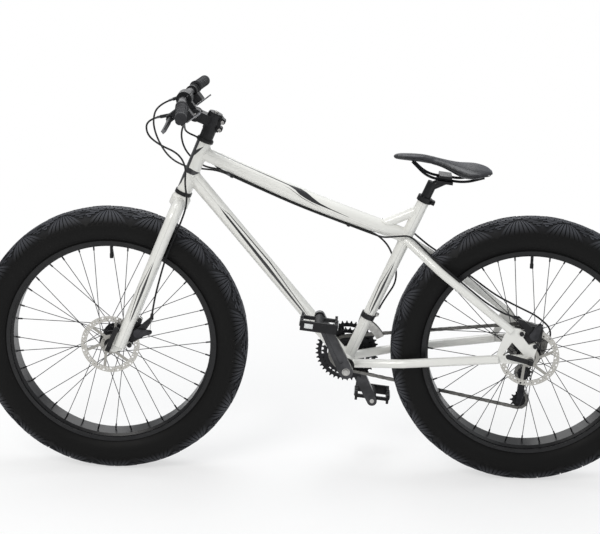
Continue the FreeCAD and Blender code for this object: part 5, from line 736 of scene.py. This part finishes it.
class BICYCLE_OT_stage(bpy.types.Operator):
    """Set up the pale floor, the soft lamps and the camera at the photograph's angle"""
    bl_idname = "bicycle.stage"
    bl_label = "Stage"

    def execute(self, context):
        scene = context.scene
        scene.view_settings.view_transform = "Standard"
        self.add_world(scene)
        self.add_floor()
        self.add_lamps()
        self.add_camera(scene)
        return {"FINISHED"}

    def add_world(self, scene):
        world = bpy.data.worlds.new("studio")
        scene.world = world
        world.use_nodes = True
        tree = world.node_tree
        root = Shade(tree)
        seen = root.node("ShaderNodeLightPath", {}, {}, "Is Camera Ray")
        soft = tree.nodes["Background"]
        soft.inputs["Color"].default_value = (0.96, 0.98, 1.0, 1)
        soft.inputs["Strength"].default_value = 0.42
        white = root.node("ShaderNodeBackground", {}, {"Color": (1, 1, 1, 1), "Strength": 1.0})
        mixed = root.node("ShaderNodeMixShader", {}, {0: seen, 1: Shade(tree, soft.outputs[0]), 2: white})
        tree.links.new(mixed.socket, tree.nodes["World Output"].inputs["Surface"])

    def add_floor(self):
        deselect()
        bpy.ops.mesh.primitive_grid_add(x_subdivisions=8, y_subdivisions=8, size=60, location=(0, 0, -0.0005))
        floor = bpy.context.view_layer.objects.active
        floor.name = "studio_floor"
        bpy.ops.object.transform_apply(location=True)
        made = Finish("studio_floor", (0.93, 0.93, 0.93, 1), 0.9, specular_ior_level=0.0)
        x, y, z = made.axes()
        far = made.root.maths("SQRT", x * x + y * y * 0.6)
        seen = made.root.node("ShaderNodeLightPath", {}, {}, "Is Camera Ray")
        glow = made.root.node("ShaderNodeEmission", {}, {"Color": (1, 1, 1, 1), "Strength": 1.0})
        tree = made.material.node_tree
        plain = Shade(tree, made.shader.outputs[0])
        glowing = seen * (far.ease(0.5, 1.5) * 0.4 + 0.6)
        mixed = made.root.node("ShaderNodeMixShader", {}, {0: glowing, 1: plain, 2: glow})
        tree.links.new(mixed.socket, tree.nodes["Material Output"].inputs["Surface"])
        floor.data.materials.append(made.material)

    def add_lamps(self):
        for name, place, size, power, colour in LAMPS:
            deselect()
            bpy.ops.object.light_add(type="AREA", location=place)
            lamp = bpy.context.view_layer.objects.active
            lamp.name = name
            lamp.data.shape = "DISK"
            lamp.data.size = size
            lamp.data.energy = power
            lamp.data.color = colour
            aim = LAMP_AIM - Vector(place)
            lamp.rotation_euler = aim.to_track_quat("-Z", "Y").to_euler()

    def add_camera(self, scene):
        level = Vector((math.sin(CAMERA_YAW), -math.cos(CAMERA_YAW), 0))
        forward = level * math.cos(CAMERA_PITCH) + Vector((0, 0, -math.sin(CAMERA_PITCH)))
        right = Vector((-math.cos(CAMERA_YAW), -math.sin(CAMERA_YAW), 0))
        up = right.cross(forward)
        turned_right = right * math.cos(CAMERA_ROLL) + up * math.sin(CAMERA_ROLL)
        turned_up = -right * math.sin(CAMERA_ROLL) + up * math.cos(CAMERA_ROLL)
        deselect()
        bpy.ops.object.camera_add()
        camera = bpy.context.view_layer.objects.active
        camera.name = "photo_camera"
        matrix = Matrix((turned_right, turned_up, -forward)).transposed().to_4x4()
        matrix.translation = CAMERA_PLACE
        camera.matrix_world = matrix
        camera.data.sensor_fit = "HORIZONTAL"
        camera.data.sensor_width = SENSOR_WIDTH
        camera.data.lens = CAMERA_FOCAL / PICTURE_WIDTH * SENSOR_WIDTH
        camera.data.clip_end = 200
        scene.camera = camera


class BICYCLE_OT_frame_paint(bpy.types.Operator):
    """Paint the frame and fork, with their stripes"""
    bl_idname = "bicycle.frame_paint"
    bl_label = "Frame paint"

    def execute(self, context):
        plain = pearl_paint("pearl_plain")
        paint_nodes(plain, "seat_tube_brace", "chain_stays", "bottom_bracket_shell", "dropouts", "fork_crown")
        paint_nodes(pearl_paint("pearl_top_tube", (top_tube_bands,)), "top_tube")
        paint_nodes(pearl_paint("pearl_head_tube", (head_tube_bands,)), "head_tube")
        down = BOTTOM_BRACKET - DOWN_TUBE_HEAD
        across = Vector((down.z, 0, -down.x)).normalized()
        forward = Vector((SEAT_AXIS.z, 0, -SEAT_AXIS.x))
        lines = {
            "down_tube": (DOWN_TUBE_HEAD, down.normalized(), across, down.length, DOWN_TUBE_LINE),
            "seat_tube": (BOTTOM_BRACKET, SEAT_AXIS, forward, SEAT_TUBE_LENGTH, SEAT_TUBE_LINE),
            "fork_legs": (STEER_FOOT, STEER_AXIS, STEER_FORWARD, FORK_LENGTH, FORK_LINE),
        }
        for tube, line in lines.items():
            paint_nodes(pearl_paint(f"pearl_{tube}", (tapered_pair(*line),)), tube)
        paint_nodes(pearl_paint("pearl_seat_stays"), "seat_stays")
        return {"FINISHED"}


class BICYCLE_OT_welds(bpy.types.Operator):
    """Run the weld beads round the joints of the frame tubes"""
    bl_idname = "bicycle.welds"
    bl_label = "Welds"

    def execute(self, context):
        paint = bpy.data.materials["pearl_plain"]
        down = (BOTTOM_BRACKET - DOWN_TUBE_HEAD).normalized()
        head = (STEER_FOOT, STEER_AXIS, HEAD_TUBE_RADIUS)
        shell = (BOTTOM_BRACKET, ACROSS, SHELL_RADIUS)
        seat = (BOTTOM_BRACKET, SEAT_AXIS, SEAT_TUBE_RADIUS)
        top = (TOP_TUBE_HEAD, TOP_TUBE_ALONG, TOP_TUBE_BRACED_RADIUS)
        top_end = TOP_TUBE_HEAD + TOP_TUBE_ALONG * TOP_TUBE_LENGTH
        brace_end = BRACE_SEAT + BRACE_ALONG * BRACE_LENGTH
        joints = (
            ("weld_down_head", DOWN_TUBE_HEAD, down, (DOWN_TUBE_RADIUS, DOWN_TUBE_RADIUS), head),
            ("weld_top_head", TOP_TUBE_HEAD, TOP_TUBE_ALONG, (TOP_TUBE_RADIUS, TOP_TUBE_RADIUS), head),
            ("weld_down_shell", BOTTOM_BRACKET, -down, (DOWN_TUBE_RADIUS, DOWN_TUBE_RADIUS), shell),
            ("weld_seat_shell", BOTTOM_BRACKET, SEAT_AXIS, (SEAT_TUBE_RADIUS, SEAT_TUBE_RADIUS), shell),
            ("weld_brace_seat", BRACE_SEAT, BRACE_ALONG, (BRACE_RADIUS, BRACE_RADIUS), seat),
            ("weld_brace_top", brace_end, -BRACE_ALONG, (BRACE_RADIUS, BRACE_RADIUS), top),
            ("weld_top_seat", top_end, -TOP_TUBE_ALONG, TOP_TUBE_END_RADII, seat),
        )
        for name, start, along, radii, other in joints:
            points = self.seam(start, along, radii, *other)
            bulges = [1 + BEAD_RIPPLE * math.sin(index * math.tau / 3) for index in range(len(points))]
            bead = tube_along(name, points, context.scene.bicycle_sizes.bead, order=0, bulges=bulges, sides=2,
                              closed=True)
            settle(bead, "frame", paint, angle=60)
        return {"FINISHED"}

    def seam(self, start, along, radii, other, other_along, other_radius):
        """Where a tube that begins inside another tube comes out of it."""
        along, other_along = along.normalized(), other_along.normalized()
        up = along.cross(ACROSS).normalized()
        points = []
        for index in range(SEAM_POINTS):
            angle = math.tau * index / SEAM_POINTS
            line = start + ACROSS * (radii[0] * math.cos(angle)) + up * (radii[1] * math.sin(angle)) - other
            flat = line - other_along * line.dot(other_along)
            step = along - other_along * along.dot(other_along)
            a, b, c = step.dot(step), 2 * flat.dot(step), flat.dot(flat) - other_radius ** 2
            root = max(0.0, b * b - 4 * a * c)
            points.append(other + line + along * ((-b + math.sqrt(root)) / (2 * a)))
        return points


class BICYCLE_OT_tyres(bpy.types.Operator):
    """Model one wide tyre with its fan tread and copy it to the other wheel"""
    bl_idname = "bicycle.tyres"
    bl_label = "Tyres"

    def execute(self, context):
        sizes = context.scene.bicycle_sizes
        rubber = tyre_rubber()
        self.depth = sizes.tread_depth
        self.line = self.outline()
        casing = self.casing()
        tread = self.tread(sizes.fans)
        front = joined("front_tyre_treaded", [casing, tread])
        rear = front.copy()
        rear.data = front.data.copy()
        rear.name = rear.data.name = "rear_tyre_treaded"
        context.scene.collection.objects.link(rear)
        rear.data.transform(Matrix.Translation(REAR_AXLE - FRONT_AXLE) @ Matrix.Translation(FRONT_AXLE)
                            @ Matrix.Rotation(REAR_TYRE_TURN, 4, "Y") @ Matrix.Translation(-FRONT_AXLE))
        settle(front, "front_wheel", rubber, ("front_tyre",), 28)
        settle(rear, "rear_wheel", rubber, ("rear_tyre",), 28)
        return {"FINISHED"}

    def outline(self):
        """The outer outline from the middle of the crown to the bead, with its length so far."""
        crown = [(CROWN_EDGE[0], CROWN_EDGE[1] * index / 6) for index in range(6)]
        shoulder = arc_through(CROWN_EDGE, CROWN_BEND, SHOULDER, 8)
        wall = arc_through(SHOULDER, SIDEWALL, GRIP, 18)[1:]
        line, reach = [], 0.0
        for point in crown + shoulder + wall + [BEAD]:
            if line:
                reach += math.dist(point, line[-1][1])
            line.append((reach, point))
        return line

    def at(self, reach):
        """The outline's point and outward normal at a length from the crown."""
        for (low, first), (high, last) in zip(self.line, self.line[1:]):
            if reach <= high:
                share = (reach - low) / (high - low)
                spot = [a + (b - a) * share for a, b in zip(first, last)]
                run = [(b - a) / (high - low) for a, b in zip(first, last)]
                return spot, (run[1], -run[0])
        raise ValueError("beyond the bead")

    def sunk(self, reach):
        """How far the casing lies below the tread's top at a length from the crown."""
        fade = min(1, max(0, (reach - TREAD_FADE) / TREAD_FADE_LENGTH))
        return self.depth * (1 - fade * fade * (3 - 2 * fade))

    def casing(self):
        half = []
        for reach, point in self.line:
            spot, normal = self.at(reach)
            drop = self.sunk(reach)
            ridge = RIDGE_HEIGHT if any(low < reach < high for low, high in RIDGE_BANDS) else 0.0
            half.append((spot[0] - normal[0] * (drop - ridge), spot[1] - normal[1] * (drop - ridge)))
        outer = [(radius, -height) for radius, height in reversed(half[1:])] + half
        inner = list(CASING_INSIDE)
        mirrored = [(radius, -height) for radius, height in inner]
        return turned("tyre_casing", outer + inner + mirrored[::-1] + [outer[0]], FRONT_AXLE, ACROSS, 180)

    def strip(self, points, faces, left, right):
        """A flat block between two lines of the same number of points."""
        base = len(points)
        points += [(a, t, 0.0) for pair in zip(left, right) for a, t in pair]
        faces += [(low, low + 1, low + 3, low + 2) for low in range(base, len(points) - 2, 2)]

    def tread(self, fans):
        """One sector of raised blocks: a fan on each side, steps between the fans and a middle row."""
        pitch = math.tau * CROWN_EDGE[0] / fans
        points, faces = [], []
        for side, shift in ((1, 0.0), (-1, pitch / 2)):
            for index in range(FAN_BLADES):
                self.strip(points, faces, *self.blade(pitch, shift, side, index))
            self.steps(points, faces, pitch, shift, side)
        half = pitch / CENTRE_BLOCKS / 2 - TREAD_GAP * 0.8
        for index in range(CENTRE_BLOCKS):
            middle = pitch * (index + 0.5) / CENTRE_BLOCKS
            left = [(middle + lean - half, across) for across, lean in CENTRE_BLOCK]
            right = [(middle + lean + half, across) for across, lean in CENTRE_BLOCK]
            self.strip(points, faces, left, right)
        piece = drawn("tyre_tread", points, faces=faces)
        edit_all()
        bpy.ops.mesh.normals_make_consistent(inside=False)
        bpy.ops.mesh.extrude_region_move(TRANSFORM_OT_translate={"value": (0, 0, self.depth - TREAD_BEVEL)})
        bpy.ops.mesh.inset(thickness=TREAD_BEVEL, depth=TREAD_BEVEL)
        leave_edit()
        self.wrap(piece)
        edit_all()
        turn = math.tau * (fans - 1) / fans
        bpy.ops.mesh.spin(steps=fans - 1, angle=turn, dupli=True, use_auto_merge=False, center=FRONT_AXLE,
                          axis=ACROSS)
        bpy.ops.mesh.select_all(action="SELECT")
        bpy.ops.mesh.normals_make_consistent(inside=False)
        leave_edit()
        return piece

    def blade(self, pitch, shift, side, index):
        """Both edges of one blade of a fan, which widens from the crown to the shoulder."""
        left, right = [], []
        middle = (FAN_BLADES - 1) / 2
        for step in range(FAN_STEPS + 1):
            share = step / FAN_STEPS
            width = pitch * (FAN_FOOT + (1 - FAN_FOOT) * share ** FAN_POWER)
            gap = TREAD_GAP * (0.55 + 0.25 * share)
            inset = FAN_INSET * abs(index - middle) / middle * (1 - share)
            reach = side * (FAN_START + FAN_LENGTH * share + inset)
            left.append((shift - width / 2 + width * index / FAN_BLADES + gap, reach))
            right.append((shift - width / 2 + width * (index + 1) / FAN_BLADES - gap, reach))
        return left, right

    def steps(self, points, faces, pitch, shift, side):
        """Stepped blocks in the wedge between two fans."""
        middle = shift + pitch / 2
        for rank, (reach, half) in enumerate(STEP_RANKS):
            for way in (-1, 1):
                far = pitch * half
                near = TREAD_GAP * 0.6 if (rank + way) % 2 else far * 0.34
                lift = STEP_LIFT * way * (1 if rank % 2 else -1)
                left = [(middle + way * near, side * (reach + lift * 0.5)),
                        (middle + way * (near + far) / 2, side * (reach - lift * 0.2)),
                        (middle + way * far, side * (reach - 0.001))]
                right = [(along, across + side * STEP_DEPTH) for along, across in left]
                self.strip(points, faces, left, right)

    def wrap(self, piece):
        """Bend the flat sector round the tyre, and note how high each point stands in its block."""
        # The height share also darkens the tyre's colour towards the groove floors: painted shade.
        raised = piece.data.attributes.new("raised", "FLOAT", "POINT")
        for vertex in piece.data.vertices:
            along, across, height = vertex.co
            side = -1 if across < 0 else 1
            reach = abs(across)
            spot, normal = self.at(reach)
            share = height / self.depth
            raised.data[vertex.index].value = share
            drop = self.sunk(reach) + TREAD_ROOT
            out = share * drop - drop
            radius, height = (at + way * out for at, way in zip(spot, normal))
            swing = along / CROWN_EDGE[0]
            out_from_axle = Vector((math.sin(swing), 0, math.cos(swing))) * radius
            vertex.co = FRONT_AXLE + out_from_axle + ACROSS * (side * height)


class BICYCLE_OT_wheels(bpy.types.Operator):
    """Finish the rims, spokes, hubs, discs and axles"""
    bl_idname = "bicycle.wheels"
    bl_label = "Wheels"

    def execute(self, context):
        paint_nodes(satin_black("rim_black"), "front_rim", "rear_rim")
        paint_nodes(spoke_steel(), "front_spokes", "rear_spokes")
        paint_nodes(cast_black(), "front_hub", "rear_hub")
        for name, axle in (("front", FRONT_AXLE), ("rear", REAR_AXLE)):
            disc = self.drilled_disc(name, axle)
            steel = disc_steel(f"{name}_disc_steel", axle)
            settle(disc, f"{name}_wheel", steel, (f"{name}_rotor",), 30)
        paint_nodes(bright_steel(), "front_axle", "rear_axle")
        paint_nodes(satin_black("lever_black"), "front_quick_lever", "rear_quick_lever")
        return {"FINISHED"}

    def drilled_disc(self, name, axle):
        """A copy of the brake disc with rows of small holes beside its large ones."""
        disc = bpy.data.objects.new(f"{name}_drilled_disc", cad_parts[f"{name}_rotor"].data.copy())
        bpy.context.scene.collection.objects.link(disc)
        low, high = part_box(f"{name}_rotor")
        drill = self.drill(axle, low[1] - DRILL_OVERRUN, high[1] + DRILL_OVERRUN)
        make_active(disc)
        merge_points()
        apply_modifier(disc, "holes", "BOOLEAN", object=drill, operation="DIFFERENCE", solver="EXACT")
        bpy.data.objects.remove(drill)
        return disc

    def drill(self, axle, low, high):
        """One many-pronged cutter: a round prism for each hole in each row."""
        points, faces = [], []
        for row_radius, count, phase, hole_radius in DISC_ROWS:
            for index in range(count):
                turn = math.tau * (index + phase) / count
                middle = axle + Vector((math.cos(turn), 0, math.sin(turn))) * row_radius
                first = len(points)
                swings = [math.tau * corner / DRILL_SIDES for corner in range(DRILL_SIDES)]
                for y in (low, high):
                    points += [(middle.x + hole_radius * math.cos(swing), y,
                                middle.z + hole_radius * math.sin(swing)) for swing in swings]
                near = [first + corner for corner in range(DRILL_SIDES)]
                far = [corner + DRILL_SIDES for corner in near]
                faces += [near, far[::-1]]
                for corner in range(DRILL_SIDES):
                    after = (corner + 1) % DRILL_SIDES
                    faces.append((near[after], near[corner], far[corner], far[after]))
        drill = drawn("drill", points, (), faces)
        tidy_normals()
        return drill


class BICYCLE_OT_saddle(bpy.types.Operator):
    """Pad and cover the saddle, and finish its rails and post"""
    bl_idname = "bicycle.saddle"
    bl_label = "Saddle"

    def execute(self, context):
        pad = self.padded_copy(context)
        settle(pad, "seat", saddle_cover(), ("saddle",), 60)
        piping = tube_along("saddle_piping", self.seam(pad), PIPING_RADIUS, order=4, sides=3, closed=True,
                            resolution=6)
        settle(piping, "seat", moulded_plastic("piping"), angle=60)
        paint_nodes(bright_steel("rail_black", (0.02, 0.02, 0.022, 1), 0.3), "saddle_rails")
        paint_nodes(satin_black("post_black"), "seatpost", "seat_collar")
        return {"FINISHED"}

    def padded_copy(self, context):
        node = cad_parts["saddle"]
        pad = bpy.data.objects.new("saddle_pad", node.data.copy())
        context.scene.collection.objects.link(pad)
        make_active(pad)
        merge_points(0.00002)
        apply_modifier(pad, "even", "REMESH", mode="VOXEL", voxel_size=VOXEL)
        apply_modifier(pad, "rounded", "SMOOTH", factor=0.5, iterations=6)
        self.swell(context, pad)
        apply_modifier(pad, "fine", "SUBSURF", levels=1, render_levels=1)
        return pad

    def seam(self, pad):
        """The line of the cover's widest points, slice by slice along one side and back along the other."""
        places = [vertex.co for vertex in pad.data.vertices]
        low = min(place.x for place in places) + PIPING_MARGIN
        high = max(place.x for place in places) - PIPING_MARGIN
        side = []
        for index in range(PIPING_POINTS + 1):
            x = low + (high - low) * index / PIPING_POINTS
            near = (place for place in places if abs(place.x - x) < PIPING_MARGIN)
            widest = sorted(near, key=lambda place: -place.y)[:6]
            middle = sum(widest, Vector()) / len(widest)
            side.append(Vector((x, widest[0].y, middle.z - PIPING_DROP)))
        return side + [Vector((place.x, -place.y, place.z)) for place in reversed(side)]

    def swell(self, context, pad):
        """Let the cover swell a little under the foam's pressure, then keep the shape."""
        cap = context.scene.bicycle_sizes.puff
        rest = [vertex.co.copy() for vertex in pad.data.vertices]
        cloth = pad.modifiers.new("foam", "CLOTH")
        cloth.settings.use_pressure = True
        cloth.settings.uniform_pressure_force = 3.0
        cloth.settings.effector_weights.gravity = 0
        cloth.settings.tension_stiffness = 25
        for number in range(1, SWELL_FRAMES + 1):
            context.scene.frame_set(number)
        bpy.ops.object.modifier_apply(modifier="foam")
        context.scene.frame_set(1)
        for vertex, start in zip(pad.data.vertices, rest):
            move = vertex.co - start
            if move.length > cap:
                vertex.co = start + move.normalized() * cap


class BICYCLE_OT_cockpit(bpy.types.Operator):
    """Finish the bar, stem, headset, brake levers and shifters, and model the grips"""
    bl_idname = "bicycle.cockpit"
    bl_label = "Cockpit"

    def execute(self, context):
        paint_nodes(satin_black("stem_black", roughness=0.4), "stem_base", "stem_arm", "headset_cups")
        paint_nodes(bright_steel("bar_graphite", (0.06, 0.06, 0.064, 1), 0.3), "handlebar")
        paint_nodes(bpy.data.materials["cast_black"], "control_mounts")
        alloy = (0.30, 0.30, 0.31, 1)
        paint_nodes(bright_steel("lever_alloy", alloy, 0.34), "brake_lever_left", "brake_lever_right")
        paint_nodes(bright_steel("paddle_alloy", alloy, 0.36), "shift_paddle_left", "shift_paddle_right")
        rubber = grip_rubber()
        grips = joined("ribbed_grips", [self.grip(side) for side in (1, -1)])
        settle(grips, "steering", rubber, ("grips",), 40)
        bolts = []
        for forward, side, height, radius in STEM_BOLTS:
            place = steer_place(forward, side, height)
            bolts.append(socket_bolt("stem_bolt", place, ACROSS * math.copysign(1, side), radius))
        bolts.append(socket_bolt("cap_bolt", steer_place(0, 0, CAP_HEIGHT), STEER_AXIS, CAP_BOLT_RADIUS))
        steel = bpy.data.materials["bright_steel"]
        settle(joined("stem_bolts", bolts), "steering", steel, angle=30)
        return {"FINISHED"}

    def grip(self, side):
        """A ribbed sleeve: a wide flange, a ringed middle and a rounded closed end."""
        bend, end = (BAR_CENTRE + Vector((x, side * y, z)) for x, y, z in (BAR_BEND, BAR_END))
        out = (end - bend).normalized()
        start = end - out * GRIP_LENGTH
        outline = list(GRIP_FLANGE)
        for index in range(GRIP_RINGS):
            low = RINGS_START + RINGS_LENGTH * index / GRIP_RINGS
            outline += [(radius, low + height) for radius, height in GRIP_RING]
        outline += GRIP_TIP
        return turned("grip", outline, start, out, 40)


class BICYCLE_OT_brakes(bpy.types.Operator):
    """Finish the calipers and string their wires"""
    bl_idname = "bicycle.brakes"
    bl_label = "Brakes"

    def execute(self, context):
        paint_nodes(bpy.data.materials["cast_black"], "front_caliper", "rear_caliper")
        arm_steel = bright_steel("arm_steel", (0.06, 0.06, 0.064, 1), 0.36)
        paint_nodes(arm_steel, "front_caliper_arm", "rear_caliper_arm")
        steel = bright_steel("wire_steel", (0.50, 0.50, 0.49, 1), 0.3)
        for name, (start, end, body) in BRAKE_WIRES.items():
            first, last = Vector(start), Vector(end)
            tail = last + (last - first).normalized() * WIRE_TAIL
            route = [first, first.lerp(last, 0.5), last, tail]
            wire = tube_along(f"{name}_brake_wire", route, WIRE_RADIUS, order=2, sides=2)
            settle(wire, None, steel, angle=60)
            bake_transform(wire)
        return {"FINISHED"}


class BICYCLE_OT_cables(bpy.types.Operator):
    """Run the cable housings in smooth lines from the controls"""
    bl_idname = "bicycle.cables"
    bl_label = "Cables"

    def execute(self, context):
        skin = cable_skin()
        radius = context.scene.bicycle_sizes.housing / 2
        paint_nodes(skin, "frame_cables")
        loops = (("rear_brake_loop", REAR_BRAKE_LOOP, ("cable_loops",)),
                 ("left_shift_loop", LEFT_SHIFT_LOOP, ()), ("right_shift_loop", RIGHT_SHIFT_LOOP, ()))
        for name, route, replaced in loops:
            loop = settle(tube_along(name, route, radius), None, skin, replaced, 60)
            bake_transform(loop)
        line = tube_along("front_brake_line", FRONT_BRAKE_ROUTE, radius)
        settle(line, "steering", skin, ("front_brake_cable",), 60)
        self.add_ferrules()
        wire = tube_along("front_derailleur_wire", SHIFT_WIRE, WIRE_RADIUS, order=2, sides=2)
        settle(wire, "frame", bpy.data.materials["wire_steel"], angle=60)
        return {"FINISHED"}

    def add_ferrules(self):
        """Metal end caps on the housings, at the controls, the first clip, the brakes and the derailleurs."""
        steel = bright_steel("ferrule_steel", (0.16, 0.16, 0.17, 1), 0.3)
        loops = (REAR_BRAKE_LOOP, LEFT_SHIFT_LOOP, RIGHT_SHIFT_LOOP)
        brake = [FRONT_BRAKE_ROUTE[:2], FRONT_BRAKE_ROUTE[:-3:-1]]
        ends = {"steering": [route[:2] for route in loops] + brake,
                "frame": [route[:-3:-1] for route in loops] + list(FRAME_ENDS)}
        for body, pairs in ends.items():
            caps = [turned("ferrule", FERRULE, Vector(start), Vector(ahead) - Vector(start), 20)
                    for start, ahead in pairs]
            settle(joined(f"{body}_ferrules", caps), body, steel, angle=40)


class BICYCLE_OT_drive(bpy.types.Operator):
    """Finish the cranks, rings, chain, sprockets, derailleurs and pedals"""
    bl_idname = "bicycle.drive"
    bl_label = "Drive train"

    def execute(self, context):
        paint_nodes(graphite_alloy(), "crank_arms")
        paint_nodes(bright_steel("ring_steel", (0.032, 0.032, 0.034, 1), 0.36), "chainrings")
        paint_nodes(bright_steel("chain_steel", (0.2, 0.195, 0.185, 1), 0.34), "chain", "cassette")
        steel = bpy.data.materials["bright_steel"]
        paint_nodes(steel, "crank_axles", "front_derailleur_cage")
        paint_nodes(bpy.data.materials["stem_black"], "bottom_bracket_cups")
        paint_nodes(bpy.data.materials["cast_black"], "front_derailleur", "rear_derailleur")
        paint_nodes(bright_steel("cage_steel", (0.035, 0.035, 0.038, 1), 0.36), "derailleur_cage")
        plastic = moulded_plastic()
        paint_nodes(plastic, "guide_pulley", "tension_pulley", "pedal_left", "pedal_right")
        lens = prism_lens()
        for name, side in (("left", 1), ("right", -1)):
            pieces = [self.lens(f"{name}_lens", side, Vector(offset), Vector(size))
                      for offset, size in PEDAL_LENSES]
            settle(joined(f"{name}_pedal_lenses", pieces), f"{name}_pedal", lens, angle=30)
        return {"FINISHED"}

    def lens(self, name, side, offset, size):
        """A thin reflector with a raised rim, in the tilted frame of a pedal."""
        out = Vector((math.cos(CRANK_TURN), 0, math.sin(CRANK_TURN))) * CRANK_LENGTH
        middle = BOTTOM_BRACKET + (out + ACROSS * PEDAL_SIDE) * side
        place = Matrix.Translation(middle) @ Matrix.Rotation(PEDAL_TILT, 4, "Y")
        deselect()
        bpy.ops.mesh.primitive_cube_add(size=1)
        piece = bpy.context.view_layer.objects.active
        piece.name = name
        piece.dimensions = size
        piece.location = (offset.x, side * offset.y, offset.z)
        bpy.ops.object.transform_apply(location=True, scale=True)
        edit_all()
        bpy.ops.mesh.bevel(offset=LENS_BEVEL, segments=2)
        bpy.ops.mesh.select_all(action="DESELECT")
        leave_edit()
        big = sorted(piece.data.polygons, key=lambda face: -face.area)[:2]
        for face in big:
            face.select = True
        bpy.ops.object.mode_set(mode="EDIT")
        bpy.ops.mesh.select_mode(type="FACE")
        bpy.ops.mesh.inset(thickness=LENS_RIM, depth=0)
        bpy.ops.mesh.inset(thickness=LENS_SINK, depth=-LENS_SINK)
        leave_edit()
        piece.data.transform(place)
        return piece


class BICYCLE_PT_panel(bpy.types.Panel):
    """Lists the pieces of the bicycle in the order they are made"""
    bl_idname = "BICYCLE_PT_panel"
    bl_label = "Fat tyre bicycle"
    bl_space_type = "VIEW_3D"
    bl_region_type = "UI"
    bl_category = "Bicycle"

    def draw(self, context):
        column = self.layout.column()
        for operator in OPERATORS:
            column.operator(operator.bl_idname)
        for group in (context.scene.bicycle_colours, context.scene.bicycle_sizes):
            for name in group.__annotations__:
                column.prop(group, name)


OPERATORS = (BICYCLE_OT_stage, BICYCLE_OT_frame_paint, BICYCLE_OT_welds, BICYCLE_OT_tyres, BICYCLE_OT_wheels,
             BICYCLE_OT_saddle, BICYCLE_OT_cockpit, BICYCLE_OT_brakes, BICYCLE_OT_cables, BICYCLE_OT_drive)
CLASSES = (BicycleColours, BicycleSizes) + OPERATORS + (BICYCLE_PT_panel,)


def register():
    for item in CLASSES:
        bpy.utils.register_class(item)
    bpy.types.Scene.bicycle_colours = bpy.props.PointerProperty(type=BicycleColours)
    bpy.types.Scene.bicycle_sizes = bpy.props.PointerProperty(type=BicycleSizes)


def unregister():
    del bpy.types.Scene.bicycle_sizes
    del bpy.types.Scene.bicycle_colours
    for item in reversed(CLASSES):
        bpy.utils.unregister_class(item)


def main():
    register()
    bpy.ops.bicycle.stage()
    bpy.ops.bicycle.frame_paint()
    bpy.ops.bicycle.welds()
    bpy.ops.bicycle.tyres()
    bpy.ops.bicycle.wheels()
    bpy.ops.bicycle.saddle()
    bpy.ops.bicycle.cockpit()
    bpy.ops.bicycle.brakes()
    bpy.ops.bicycle.cables()
    bpy.ops.bicycle.drive()
    deselect()


if __name__ == "__main__":
    main()
